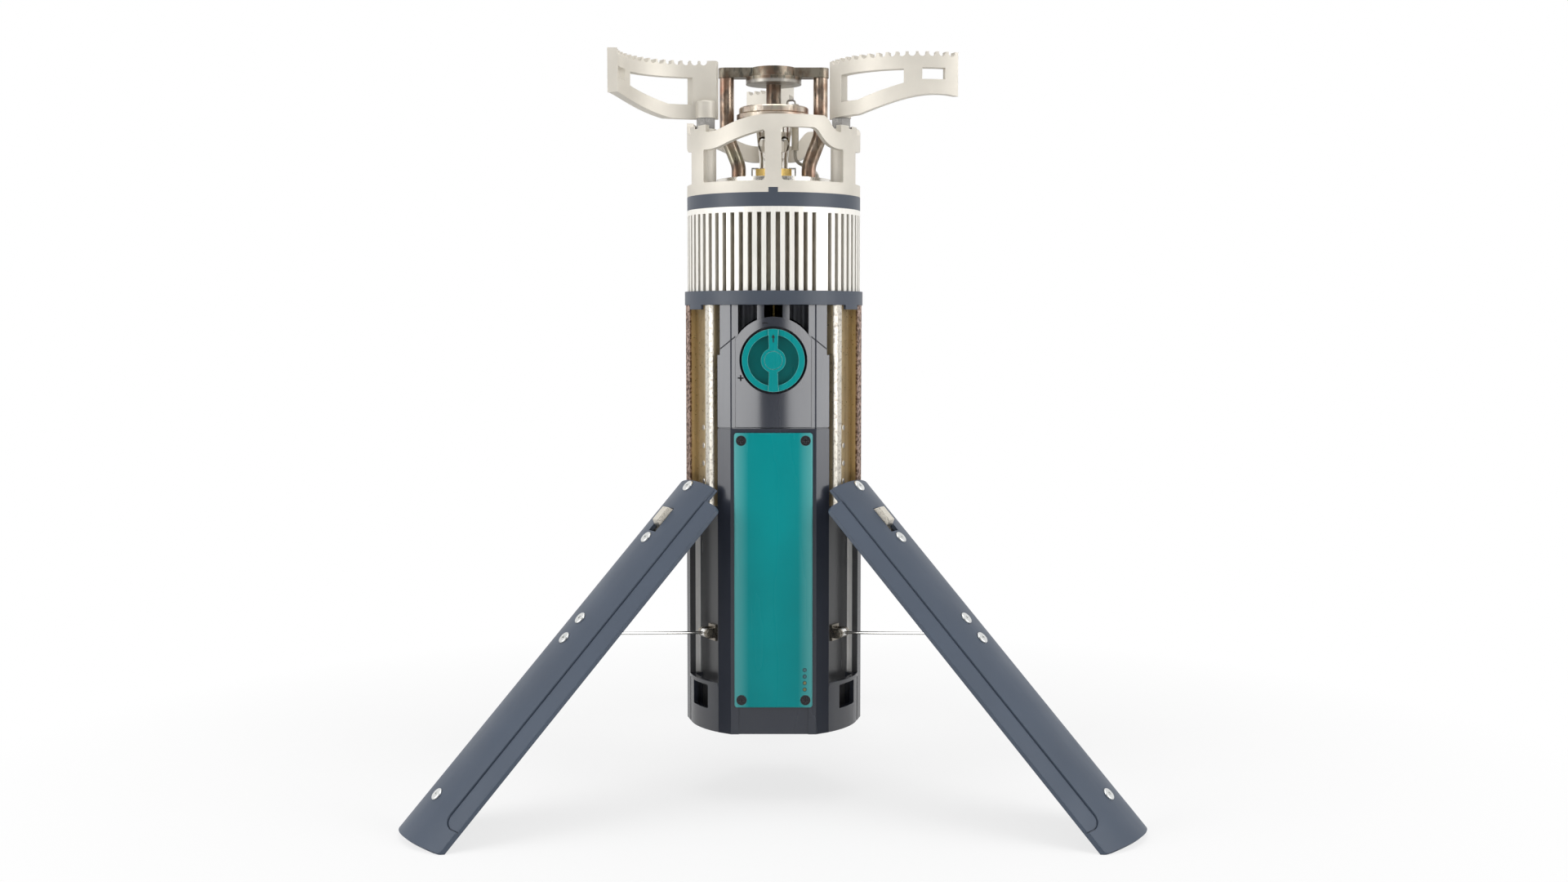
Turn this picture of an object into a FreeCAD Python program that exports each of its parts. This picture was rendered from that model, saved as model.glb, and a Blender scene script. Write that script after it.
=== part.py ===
import FreeCAD, Part
import math
import os

from FreeCAD import Vector

# A portable gas stove on three folding legs, with a thermoelectric generator in its neck.
# Millimetres and degrees. Z is up from the ground, the Z axis is the body's centre line, and the
# knob and front panel face -Y. An azimuth turns from the front towards +X.

# Layout round the axis
leg_azimuths = {"left": -60.0, "right": 60.0, "rear": 180.0}
lobe_azimuths = (0.0, 120.0, 240.0)
third_turn = 120.0

# Clearances
run_gap = 0.05
fit_gap = 0.1
pass_gap = 0.3
overcut = 2.0

# Body stack, from the ground up
base_z = 40.0
lower_housing_h = 168.0
upper_housing_h = 67.2
lower_collar_h = 7.5
heat_sink_h = 44.9
upper_collar_h = 7.5

seam_z = base_z + lower_housing_h
collar_z = seam_z + upper_housing_h
sink_z = collar_z + lower_collar_h
upper_collar_z = sink_z + heat_sink_h
cage_z = upper_collar_z + upper_collar_h

# Body section: a cartridge bore, three lobes and three leg bays
bore_r = 35.0
sleeve_wall = 3.5
rail_seat_rise = 3.1
lobe_wall = 6.9
shoulder_wall = 13.0
lobe_half = 23.3
lobe_edge_half = 30.5
rear_lobe_rise = 1.9
bay_facet_floor = 2.2
bay_facet_wall = 1.1

bay_floor_r = bore_r + sleeve_wall
rail_seat_r = bay_floor_r + rail_seat_rise
lobe_flat = bore_r + lobe_wall
rear_flat = lobe_flat + rear_lobe_rise
body_r = bore_r + shoulder_wall
lobe_edge_out = math.sqrt(body_r**2 - lobe_edge_half**2)
bay_half = body_r * math.sin(math.radians(third_turn / 2) - math.asin(lobe_edge_half / body_r))

# Base cup under each leg bay
cup_h = 27.5
cup_inset = 0.2
cup_lip = 0.4
cup_lip_h = 1.8
cup_wall = 2.5
cup_floor_h = 8.0
cup_window_half = 8.5
cup_window_h = 13.2
cup_window_z = 12.0
cup_window_r = 0.8
cup_pocket_half = 14.0

cup_r = body_r - cup_inset
cup_top_z = base_z + cup_h

# Leg rails
rail_h = 109.8
rail_wall = 1.2
rail_half = 14.0
rail_depth = 5.6
rail_lip = 4.6
rail_hole_r = 2.0
rail_hole_pitch = 9.95
rail_hole_top = 67.9
rail_hole_count = 4

rail_top_z = collar_z - fit_gap
rail_z = rail_top_z - rail_h
rail_web_r = rail_seat_r + rail_wall
rail_edge_r = rail_web_r + rail_depth

# Front panel, its screws and lights
panel_half = 21.35
panel_bottom = 15.2
panel_top_gap = 2.1
panel_wall = 1.8
panel_corner_r = 1.6
panel_edge_r = 0.8
field_half = 19.0
field_depth = 0.6
screw_across = 17.5
screw_inset = 4.2
screw_head_r = 2.7
screw_head_h = 1.2
screw_r = 1.4
screw_length = 7.0
led_r = 0.8
led_across = 17.1
led_pitch = 3.6
led_count = 4
led_bottom = 10.1

panel_z = base_z + panel_bottom
panel_h = lower_housing_h - panel_bottom - panel_top_gap
panel_face_r = lobe_flat + panel_wall

# Electronics behind the front panel
pocket_floor = 2.2
battery_half = 14.0
battery_gap = 2.0
battery_top_gap = 14.2
battery_wall = 3.8
board_half = 18.6
board_h = 28.0
board_wall = 1.2
board_rise = 8.5
chip_half = 5.0
chip_h = 1.0
socket_half = 4.5
socket_depth = 3.2
socket_h = 7.4
socket_wall = 0.35
socket_tongue = 0.7
socket_setback = 0.2

pocket_r = bore_r + pocket_floor
board_z = panel_z + board_rise
board_face_r = pocket_r + fit_gap + board_wall
battery_z = board_z + board_h + battery_gap
battery_h = panel_z + panel_h - battery_top_gap - battery_z

# Upper housing, bezel, vents and the valve shelf
bezel_rise = 0.6
bezel_r = 23.5
bezel_half = 20.6
seam_groove = 0.8
line_width = 0.6
line_depth = 0.6
line_high = 49.6
line_low = 40.0
notch_width = 1.4
notch_depth = 2.0
vent_half = 19.0
vent_rib_half = 1.9
vent_rib_across = 6.9
cavity_r = 36.0
shelf_z = 20.0
shelf_wall = 3.0
shelf_hole_r = 12.0

upper_flat = lobe_flat - bezel_rise
valve_floor_z = seam_z + shelf_z + shelf_wall

# Knob and valve
knob_above_seam = 37.2
knob_r = 17.0
knob_gap = 1.3
knob_recess = 2.9
knob_proud = 2.5
knob_dish_r = 13.7
knob_dish_depth = 2.6
knob_bar_half = 2.8
knob_bar_waist = 2.1
knob_bar_rise = 0.8
knob_hub_r = 6.7
knob_cap_r = 4.85
knob_cap_h = 0.8
spindle_r = 3.0
spindle_length = 32.0
spindle_seat = 1.6
valve_half = 13.0
valve_front = 22.0
valve_back = 12.0
valve_h = 29.0

knob_z = seam_z + knob_above_seam
recess_floor_r = lobe_flat - knob_recess
knob_face_r = lobe_flat + knob_proud
knob_top_r = knob_face_r + knob_bar_rise
valve_top_z = valve_floor_z + valve_h

# Cartridge connector, seal, gas pipe and piezo unit
connector_r = 9.0
connector_h = 14.0
connector_bore_r = 1.5
seal_r = 6.0
seal_inner_r = 3.0
seal_h = 2.0
gas_pipe_r = 2.5
gas_pipe_bore_r = 1.5
piezo_r = 5.0
piezo_h = 27.0
piezo_x = 25.0
piezo_y = 12.0

# Collars
collar_overhang = 2.0
collar_hole_r = 30.0
collar_lug_h = 2.5
collar_lug_half = 6.8
collar_gap = 1.0
collar_tab_half = 2.5
collar_tab_h = 2.5
collar_tab_wall = 3.0

collar_r = body_r + collar_overhang

# Heat sink, hot block and thermoelectric modules
sink_r = 48.5
fin_count = 60
fin_slot = 2.5
fin_depth = 8.5
fin_band_h = 3.0
wide_fin_offset = 33.0
block_inradius = 14.0
module_wall = 3.2
module_half = 12.5
module_h = 32.0
module_rise = 5.0
block_rise = 3.0
block_flange_r = 25.0
block_flange_h = 6.0
block_bore_r = 4.0
block_gap = 2.0

sink_root_r = sink_r - fin_depth
sink_inradius = block_inradius + module_wall + 2 * fit_gap

# Burner cage, its columns and the pot arm pivots
cage_wall = 3.7
cage_base_h = 6.3
cage_h = 41.3
cage_bar_half = 4.4
cage_post_half = 8.5
cage_post_drop = 3.9
cage_notch_edge = 49.0
hub_inset = 5.7
rod_r = 3.4
column_drop = 1.5

hub_r = sink_r - hub_inset
cage_top_z = cage_z + cage_h
post_top_z = cage_top_z - cage_post_drop
column_top_z = post_top_z - column_drop

# Edges of the cage's wavy rail: degrees from a sector's centre, height from the cage's top
rail_rise = [(-cage_notch_edge, -7.8), (-41.0, -7.7), (-26.0, -3.7), (-13.0, -1.0), (0.0, 0.1)]
rail_fall = [(33.0, 0.1), (36.0, -0.7), (40.0, -4.1), (44.5, -7.4), (cage_notch_edge, -7.8)]
window_rise = [(-51.5, -17.1), (-38.0, -16.4), (-26.0, -13.0), (-13.4, -9.8), (-5.2, -8.0)]
window_fall = [(26.0, -6.7), (28.5, -7.3), (32.0, -10.3), (37.0, -14.5), (43.0, -16.7), (51.5, -17.1)]
window_flat = -6.7

# Pot arms
arm_gap = 0.4
arm_h = 31.2
arm_wall = 5.2
arm_mid_inset = 3.5
arm_start = -8.0
arm_end = 97.0
arm_tip_rise = 7.7
arm_rise_start = 30.0
arm_rise_end = 66.0
arm_window = [(12.5, 7.6), (28.8, 7.6), (61.2, 14.9), (61.2, 22.2), (12.5, 22.2)]
arm_slot = [(73.0, 16.8), (88.0, 16.8), (88.0, 22.8), (73.0, 22.8)]
tooth_pitch = 6.5
tooth_count = 15
tooth_first = 1.5
tooth_r = 1.9
tooth_depth = 2.4
barrel_r = 5.4
barrel_h = 9.6
barrel_roof = 1.3
barrel_round = 1.2
washer_r = 5.6
arm_swings = {"left": 122.0, "right": 132.0, "rear": 123.0}

arm_z = cage_top_z + arm_gap
arm_top_z = arm_z + arm_h
arm_mid_r = sink_r - arm_mid_inset
arm_out_r = arm_mid_r + arm_wall / 2
arm_in_r = arm_mid_r - arm_wall / 2

# Burner on its deck
deck_r = 32.0
deck_wall = 1.5
deck_rise = 8.4
deck_skirt = 1.5
deck_hole_r = 6.0
nut_across = 20.0
nut_h = 6.0
nut_bore_r = 0.6
clip_half = 12.5
clip_wall = 0.8
clip_width = 3.0
tube_r = 8.0
tube_top_r = 9.7
tube_h = 25.2
tube_wall = 1.0
tube_cone_low = 6.0
tube_cone_high = 5.0
air_hole_r = 4.4
air_hole_rise = 13.5
air_hole_count = 4
bowl_r = 20.75
bowl_h = 4.8
bowl_wall = 1.6
cap_r = 19.5
cap_h = 4.2
cap_chamfer = 0.8
post_r = 4.15
post_h = 12.8
collector_disc_r = 15.5
collector_disc_h = 3.6
collector_bar_h = 5.4
collector_bar_half = 4.6
collector_hub_r = 12.5

deck_z = cage_z + deck_rise
deck_top_z = deck_z + deck_wall
nut_top_z = deck_top_z + nut_h
bowl_z = nut_top_z + tube_h
cap_z = bowl_z + bowl_h
post_z = cap_z + cap_h
collector_z = post_z + post_h
bar_z = collector_z + collector_disc_h

# Heat pipes
pipe_r = 4.0
pipe_low_x = 19.6
pipe_high_x = 26.2
pipe_bend_low = 8.0
pipe_bend_high = 25.0
pipe_bend_r = 14.0
pipe_seat = 4.0

# Igniter
insulator_r = 2.0
insulator_x = 12.0
insulator_y = 3.0
insulator_drop = 14.2
insulator_proud = 2.4
electrode_r = 0.5
electrode_rise = 2.2
electrode_reach = 4.5
electrode_bend_r = 1.4
lead_r = 0.9
lead_gap = 0.5
lead_bend_r = 5.0
lead_drop = 6.0

insulator_z = bowl_z - insulator_drop
insulator_top_z = post_z + insulator_proud

# Latch button
button_along = 26.0
button_half_length = 6.0
button_half = 3.75
button_proud = 2.8
button_top_half = 2.9
button_plate_half = 5.0
button_plate_length = 25.0
button_plate_tail = 8.0
button_plate_wall = 0.7
button_travel = 4.0

# Legs, with distances along a leg counted down from its top pivot
leg_tilt = 43.6
pivot_above_rail = 8.7
pivot_depth = 3.0
leg_gap = 3.3
shell_wall = 2.2
shell_across = 29.0
strip_across = 20.5
tongue_rise = 0.2
strip_top = 8.5
strip_top_r = 3.0
strip_depth = 0.5
groove_width = 0.9
groove_depth = 1.1
strip_corner_r = 5.0
strip_foot = 16.0
foot_bow_r = 100.0
foot_corner_r = 2.5
foot_stand = 2.0
spine_gap = 0.5
spine_wall = 1.1
spine_depth = 5.5
spine_tongue_half = 5.5
spine_tongue = 8.0
spine_foot_gap = 14.0
ear_r = 2.8
pin_r = 1.5
rivet_along = (4.0, 41.2, 98.0, 111.5, 214.9)
rivet_r = 1.9
rivet_head_r = 3.5
rivet_head_h = 1.0
rivet_tail_r = 3.0
rivet_tail_h = 0.8
rivet_socket_r = 1.0

leg_in_r = body_r + leg_gap
leg_out_r = leg_in_r + shell_wall
spine_half = rail_half - rail_lip - spine_gap
plate_out_r = math.sqrt(leg_in_r**2 - button_plate_half**2) - fit_gap
web_out_r = plate_out_r - button_plate_wall - fit_gap
web_in_r = web_out_r - spine_wall
flange_in_r = web_out_r - spine_depth
pivot_r = web_out_r - pivot_depth
pivot_z = rail_z + pivot_above_rail
tilt_sin = math.sin(math.radians(leg_tilt))
tilt_cos = math.cos(math.radians(leg_tilt))

# Carriage that carries a leg's top in its rail
carriage_drop = 14.0
carriage_rise = 1.5
carriage_inset = 1.0
carriage_gap = 0.4

carriage_half = spine_half - spine_wall - carriage_gap
carriage_back_r = rail_web_r + pass_gap
carriage_face_r = pivot_r - carriage_inset

# Strut from the body to the leg
strut_wire_r = 0.8
strut_eye_r = 2.6
strut_eye_half = 2.2
strut_pin_r = 1.4
strut_along = 102.5
strut_clear = 0.5
bracket_out = 5.0
bracket_below_pivot = 81.2
bracket_wall = 1.5
bracket_plate_h = 9.0
bracket_ear_r = 2.8
bracket_head_r = 2.4
bracket_head_h = 1.3

strut_leg_r = web_in_r - strut_eye_r - strut_clear
bracket_r = bay_floor_r + bracket_out
bracket_z = pivot_z - bracket_below_pivot


def box(x0, x1, y0, y1, z0, z1):
    return Part.makeBox(x1 - x0, y1 - y0, z1 - z0, Vector(x0, y0, z0))


def slab(across0, across1, out0, out1, z0, z1):
    """A box at the front, from out0 to out1 away from the axis."""
    return box(across0, across1, -out1, -out0, z0, z1)


def rod(r, z0, z1, x=0.0, y=0.0):
    return Part.makeCylinder(r, z1 - z0, Vector(x, y, z0))


def ring(r_in, r_out, z0, z1):
    return rod(r_out, z0, z1).cut(rod(r_in, z0 - overcut, z1 + overcut))


def front_rod(r, out0, out1, z, across=0.0):
    """A cylinder along Y at the front, from out0 to out1 away from the axis."""
    return Part.makeCylinder(r, out1 - out0, Vector(across, -out0, z), Vector(0, -1, 0))


def side_disc(r, across0, across1, out, z):
    """A cylinder along X at the front, from across0 to across1."""
    return Part.makeCylinder(r, across1 - across0, Vector(across0, -out, z), Vector(1, 0, 0))


def cross_rod(r, half, out, z):
    return side_disc(r, -half, half, out, z)


def turned(shape, azimuth):
    copy = shape.copy()
    copy.rotate(Vector(0, 0, 0), Vector(0, 0, 1), azimuth)
    return copy


def at(azimuth, across, out, z):
    """A point at a distance out from the axis and across the radial plane of an azimuth."""
    a = math.radians(azimuth)
    return Vector(across * math.cos(a) + out * math.sin(a), across * math.sin(a) - out * math.cos(a), z)


def prism(points, direction):
    return Part.Face(Part.makePolygon(points + points[:1])).extrude(direction)


def hexagon(corner_r, z0, z1):
    """A six-sided prism on the axis, with two flats square to X."""
    points = [at(60.0 * k, 0, corner_r, z0) for k in range(6)]
    return prism(points, Vector(0, 0, z1 - z0))


def joined(shapes):
    return shapes[0].fuse(shapes[1:]).removeSplitter()


def group(shapes):
    return Part.makeCompound(shapes)


def sector(r_in, r_out, start, end, z0, z1):
    """A piece of a tube between two azimuths."""
    mid = (start + end) / 2
    edges = [
        Part.Arc(at(start, 0, r_out, z0), at(mid, 0, r_out, z0), at(end, 0, r_out, z0)).toShape(),
        Part.LineSegment(at(end, 0, r_out, z0), at(end, 0, r_in, z0)).toShape(),
        Part.Arc(at(end, 0, r_in, z0), at(mid, 0, r_in, z0), at(start, 0, r_in, z0)).toShape(),
        Part.LineSegment(at(start, 0, r_in, z0), at(start, 0, r_out, z0)).toShape(),
    ]
    return Part.Face(Part.Wire(edges)).extrude(Vector(0, 0, z1 - z0))


def bent_path(points, bend_r):
    """Straight runs through the points, joined by tangent arcs of one radius."""
    edges = []
    start = points[0]
    for before, corner, after in zip(points, points[1:], points[2:]):
        run_in = (corner - before).normalize()
        run_out = (after - corner).normalize()
        turn = run_in.getAngle(run_out)
        reach = bend_r * math.tan(turn / 2)
        bend_in = corner - run_in * reach
        bend_out = corner + run_out * reach
        inward = (run_out - run_in).normalize()
        middle = corner + inward * (bend_r / math.cos(turn / 2) - bend_r)
        edges.append(Part.LineSegment(start, bend_in).toShape())
        edges.append(Part.Arc(bend_in, middle, bend_out).toShape())
        start = bend_out
    edges.append(Part.LineSegment(start, points[-1]).toShape())
    return Part.Wire(edges)


def bent_rod(points, r, bend_r):
    path = bent_path(points, bend_r)
    section = Part.Wire(Part.makeCircle(r, points[0], points[1] - points[0]))
    return path.makePipeShell([section], True, False)


def lobed_prism(flat, z0, z1):
    """The body's outline: a front lobe, two fuller rear lobes, and the seats of the leg rails between."""
    bay = [(-bay_half, rail_seat_r), (bay_half, rail_seat_r)]
    points = []
    for azimuth in lobe_azimuths:
        face = flat if azimuth == lobe_azimuths[0] else rear_flat
        lobe = [
            (-lobe_edge_half, lobe_edge_out),
            (-lobe_half, face),
            (lobe_half, face),
            (lobe_edge_half, lobe_edge_out),
        ]
        points += [at(azimuth, across, out, z0) for across, out in lobe]
        points += [at(azimuth + third_turn / 2, across, out, z0) for across, out in bay]
    return prism(points, Vector(0, 0, z1 - z0))


def base_cup():
    """The cup that closes the foot of a leg bay, with its lip, hollow and window."""
    half = bay_half - run_gap
    outline = slab(-half, half, bay_floor_r, body_r, base_z, cup_top_z)
    cup = outline.common(rod(cup_r, base_z, cup_top_z))
    lip = ring(cup_r - cup_lip, cup_r + cup_lip, cup_top_z - cup_lip_h, cup_top_z)
    lip = lip.common(slab(-half, half, bay_floor_r, body_r + overcut, base_z, cup_top_z))
    cup = cup.fuse(lip)
    floor_z = base_z + cup_floor_h
    pocket = slab(-cup_pocket_half, cup_pocket_half, bay_floor_r, cup_r, floor_z, cup_top_z + overcut)
    pocket = pocket.common(rod(cup_r - cup_wall, base_z, cup_top_z + overcut))
    window_low = base_z + cup_window_z
    window = slab(
        -cup_window_half, cup_window_half, cup_r - cup_wall - overcut, body_r + overcut,
        window_low, window_low + cup_window_h,
    )
    through = [e for e in window.Edges if abs(e.Vertexes[0].Y - e.Vertexes[1].Y) > run_gap]
    window = window.makeFillet(cup_window_r, through)
    return cup.cut([pocket, window]).removeSplitter()


def base_cups():
    return group([turned(base_cup(), azimuth) for azimuth in leg_azimuths.values()])


def bay_facets():
    """Sloping strips in the two corners of a leg bay's floor, above the cup."""
    floor = bay_floor_r - run_gap
    wall = bay_half + run_gap
    corners = [(wall, floor), (bay_half - bay_facet_floor, floor), (wall, bay_floor_r + bay_facet_wall)]
    strips = []
    for hand in (-1, 1):
        points = [Vector(hand * across, -out, cup_top_z) for across, out in corners]
        strips.append(prism(points, Vector(0, 0, rail_z - cup_top_z)))
    return strips


def screw_places():
    low = panel_z + screw_inset
    high = panel_z + panel_h - screw_inset
    return [(across, z) for across in (-screw_across, screw_across) for z in (low, high)]


def led_places():
    return [panel_z + led_bottom + i * led_pitch for i in range(led_count)]


def lower_housing():
    body = lobed_prism(lobe_flat, base_z, seam_z)
    for azimuth in leg_azimuths.values():
        bay = slab(-bay_half, bay_half, bay_floor_r, body_r + overcut, base_z - overcut, rail_z)
        body = body.cut(turned(bay, azimuth))
        body = body.fuse([turned(facet, azimuth) for facet in bay_facets()])
    cuts = [rod(bore_r, base_z - overcut, seam_z + overcut)]
    front = lobe_flat + overcut
    battery = (battery_half + fit_gap, battery_z - fit_gap, battery_z + battery_h + fit_gap)
    board = (board_half + fit_gap, board_z - fit_gap, battery_z - fit_gap)
    for half, z0, z1 in (battery, board):
        cuts.append(slab(-half, half, pocket_r, front, z0, z1))
    cuts.append(slab(-field_half, field_half, lobe_flat - field_depth, front, base_z - overcut, panel_z))
    channel = socket_half + fit_gap
    channel_out = pocket_r + socket_depth + fit_gap
    cuts.append(slab(-channel, channel, pocket_r - fit_gap, channel_out, base_z - overcut, board_z))
    for across, z in screw_places():
        cuts.append(front_rod(screw_r + run_gap, panel_face_r - screw_length - pass_gap, front, z, across))
    return body.cut(cuts).removeSplitter()


def front_panel():
    panel = slab(-panel_half, panel_half, lobe_flat, panel_face_r, panel_z, panel_z + panel_h)
    corners = [e for e in panel.Edges if abs(e.Length - panel_wall) < fit_gap]
    panel = panel.makeFillet(panel_corner_r, corners)
    rim = [e for e in panel.Edges if all(abs(v.Y + panel_face_r) < run_gap for v in e.Vertexes)]
    panel = panel.makeFillet(panel_edge_r, rim)
    back = lobe_flat - overcut
    front = panel_face_r + overcut
    holes = []
    for across, z in screw_places():
        holes.append(front_rod(screw_r + fit_gap, back, front, z, across))
        holes.append(front_rod(screw_head_r + fit_gap, panel_face_r - screw_head_h, front, z, across))
    for z in led_places():
        holes.append(front_rod(led_r + run_gap, back, front, z, led_across))
    return panel.cut(holes)


def panel_screw(across, z):
    head = front_rod(screw_head_r, panel_face_r - screw_head_h, panel_face_r, z, across)
    shank = front_rod(screw_r, panel_face_r - screw_length, panel_face_r - screw_head_h, z, across)
    slot = screw_head_r * 0.6
    slot_half = screw_head_r * 0.14
    recess = panel_face_r - screw_head_h / 2
    bars = [
        slab(across - slot, across + slot, recess, panel_face_r + overcut, z - slot_half, z + slot_half),
        slab(across - slot_half, across + slot_half, recess, panel_face_r + overcut, z - slot, z + slot),
    ]
    return head.fuse(shank).cut(bars)


def panel_screws():
    return group([panel_screw(across, z) for across, z in screw_places()])


def charge_leds():
    return group([front_rod(led_r, board_face_r, panel_face_r, z, led_across) for z in led_places()])


def battery_pack():
    back = pocket_r + fit_gap
    cell = slab(-battery_half, battery_half, back, back + battery_wall, battery_z, battery_z + battery_h)
    edges = [e for e in cell.Edges if abs(e.Length - battery_h) < fit_gap]
    return cell.makeFillet(battery_wall / 3, edges)


def control_board():
    top = board_z + board_h
    board = slab(-board_half, board_half, pocket_r + fit_gap, board_face_r, board_z, top)
    middle = (board_z + top) / 2
    chip_face = board_face_r + chip_h
    chip = slab(-chip_half, chip_half, board_face_r, chip_face, middle - chip_half, middle + chip_half)
    return board.fuse(chip)


def usb_socket():
    """The power socket, which opens downwards at the foot of the front lobe."""
    z0 = base_z + socket_setback
    back = pocket_r
    shell = slab(-socket_half, socket_half, back, back + socket_depth, z0, z0 + socket_h)
    hollow = slab(
        -socket_half + socket_wall, socket_half - socket_wall, back + socket_wall,
        back + socket_depth - socket_wall, z0 - overcut, z0 + socket_h - socket_wall * 2,
    )
    middle = back + socket_depth / 2
    tongue = slab(
        -socket_half + 3 * socket_wall, socket_half - 3 * socket_wall, middle - socket_tongue / 2,
        middle + socket_tongue / 2, z0 + 3 * socket_wall, z0 + socket_h - socket_wall,
    )
    lead_z = z0 + socket_h - socket_wall
    lead = slab(-socket_half / 2, socket_half / 2, back, middle, lead_z, board_z - fit_gap)
    return joined([shell.cut(hollow), tongue, lead])


def face_lines(body):
    """Shallow lines in the front lobe's face: one above the seam and a slanting one on each side."""
    edge = lobe_edge_half + overcut
    lines = [slab(-edge, edge, 0, body_r, seam_z - overcut, seam_z + line_width)]
    for hand in (-1, 1):
        high = seam_z + line_high
        low = seam_z + line_low
        inner = [(bezel_half, high), (bezel_half, high + line_width)]
        corners = inner + [(edge, low + line_width), (edge, low)]
        points = [Vector(hand * across, 0, z) for across, z in corners]
        lines.append(prism(points, Vector(0, -body_r, 0)))
    inside = body.copy()
    inside.translate(Vector(0, line_depth, 0))
    return [line.cut(inside) for line in lines]


def edge_notches():
    """Steps down the front lobe's two edges, from the slanting lines up to the collar."""
    low = seam_z + line_low
    notch = (lobe_edge_half - notch_width, lobe_edge_half + overcut)
    back = lobe_edge_out - notch_depth
    right = slab(*notch, back, body_r, low, collar_z + overcut)
    return [right, right.mirror(Vector(0, 0, 0), Vector(1, 0, 0))]


def upper_housing():
    body = lobed_prism(upper_flat, seam_z, collar_z)
    plate = slab(-bezel_half, bezel_half, upper_flat - overcut, lobe_flat, seam_z + seam_groove, knob_z)
    arch = front_rod(bezel_r, upper_flat - overcut, lobe_flat, knob_z)
    arch = arch.common(slab(-bezel_half, bezel_half, bore_r, body_r, seam_z, collar_z))
    body = body.fuse([plate, arch])
    vent = slab(-vent_half, vent_half, cavity_r / 2, body_r, knob_z, collar_z + overcut)
    keep = [front_rod(bezel_r, 0, body_r + overcut, knob_z)]
    for middle in (-vent_rib_across, vent_rib_across):
        rib = (middle - vent_rib_half, middle + vent_rib_half)
        keep.append(slab(*rib, bore_r, body_r, knob_z, collar_z + overcut))
    cuts = face_lines(body) + edge_notches() + [vent.cut(keep)]
    cuts.append(rod(cavity_r, seam_z - overcut, seam_z + shelf_z))
    cuts.append(rod(cavity_r, valve_floor_z, collar_z + overcut))
    cuts.append(rod(shelf_hole_r, seam_z, valve_floor_z + overcut))
    cuts.append(front_rod(knob_r + knob_gap, recess_floor_r, body_r, knob_z))
    cuts.append(front_rod(spindle_r + pass_gap, 0, body_r, knob_z))
    return body.cut(cuts).removeSplitter()


def control_knob():
    back = recess_floor_r + pass_gap
    disc = front_rod(knob_r, back, knob_face_r, knob_z)
    dish = front_rod(knob_dish_r, knob_face_r - knob_dish_depth, knob_face_r + overcut, knob_z)
    side = [(knob_bar_half, knob_r), (knob_bar_waist, 0), (knob_bar_half, -knob_r)]
    outline = side + [(-across, -up) for across, up in side]
    corners = [Vector(across, -back, knob_z + up) for across, up in outline]
    bar = prism(corners, Vector(0, back - knob_top_r, 0))
    bar = bar.common(front_rod(knob_r, back, knob_top_r, knob_z))
    hub = front_rod(knob_hub_r, back, knob_top_r, knob_z)
    knob = joined([disc.cut(dish), bar, hub])
    cap_seat = front_rod(knob_cap_r + fit_gap, knob_top_r - knob_cap_h, knob_top_r + overcut, knob_z)
    spindle_seat_out = knob_top_r - knob_cap_h - spindle_seat
    seat = front_rod(spindle_r + run_gap, back - overcut, spindle_seat_out, knob_z)
    return knob.cut([cap_seat, seat])


def knob_cap():
    return front_rod(knob_cap_r, knob_top_r - knob_cap_h, knob_top_r + fit_gap, knob_z)


def valve_spindle():
    tip = knob_top_r - knob_cap_h - spindle_seat - fit_gap
    return front_rod(spindle_r, tip - spindle_length, tip, knob_z)


def valve_body():
    block = slab(-valve_half, valve_half, -valve_back, valve_front, valve_floor_z, valve_top_z)
    boss = front_rod(spindle_r * 2, valve_front, valve_front + spindle_r * 2, knob_z)
    tip = knob_top_r - knob_cap_h - spindle_seat - fit_gap
    bore = front_rod(spindle_r + run_gap, tip - spindle_length - pass_gap, body_r, knob_z)
    gas = rod(connector_bore_r, valve_floor_z - overcut, valve_top_z + overcut)
    return block.fuse(boss).cut([bore, gas])


def cartridge_connector():
    """The nipple under the valve, through the shelf's hole."""
    neck_z = valve_floor_z - connector_h
    neck = rod(connector_r, neck_z, valve_floor_z)
    tip = rod(seal_inner_r - fit_gap, neck_z - seal_h * 2, neck_z)
    flange = rod(shelf_hole_r - fit_gap, valve_floor_z - shelf_wall, valve_floor_z)
    bore = rod(connector_bore_r, neck_z - seal_h * 3, valve_floor_z + overcut)
    return joined([neck, tip, flange]).cut(bore)


def connector_seal():
    top = valve_floor_z - connector_h
    return ring(seal_inner_r, seal_r, top - seal_h, top)


def gas_pipe():
    return ring(gas_pipe_bore_r, gas_pipe_r, valve_top_z, deck_top_z)


def piezo_unit():
    return rod(piezo_r, valve_floor_z, valve_floor_z + piezo_h, piezo_x, piezo_y)


def lower_collar():
    collar = ring(collar_hole_r, collar_r, collar_z, sink_z)
    low = collar_z - collar_lug_h
    high = collar_z + fit_gap
    lug = ring(rail_edge_r + pass_gap, collar_r, low, high)
    lug = lug.common(slab(-collar_lug_half, collar_lug_half, 0, collar_r, low, high))
    return joined([collar] + [turned(lug, azimuth) for azimuth in leg_azimuths.values()])


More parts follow.
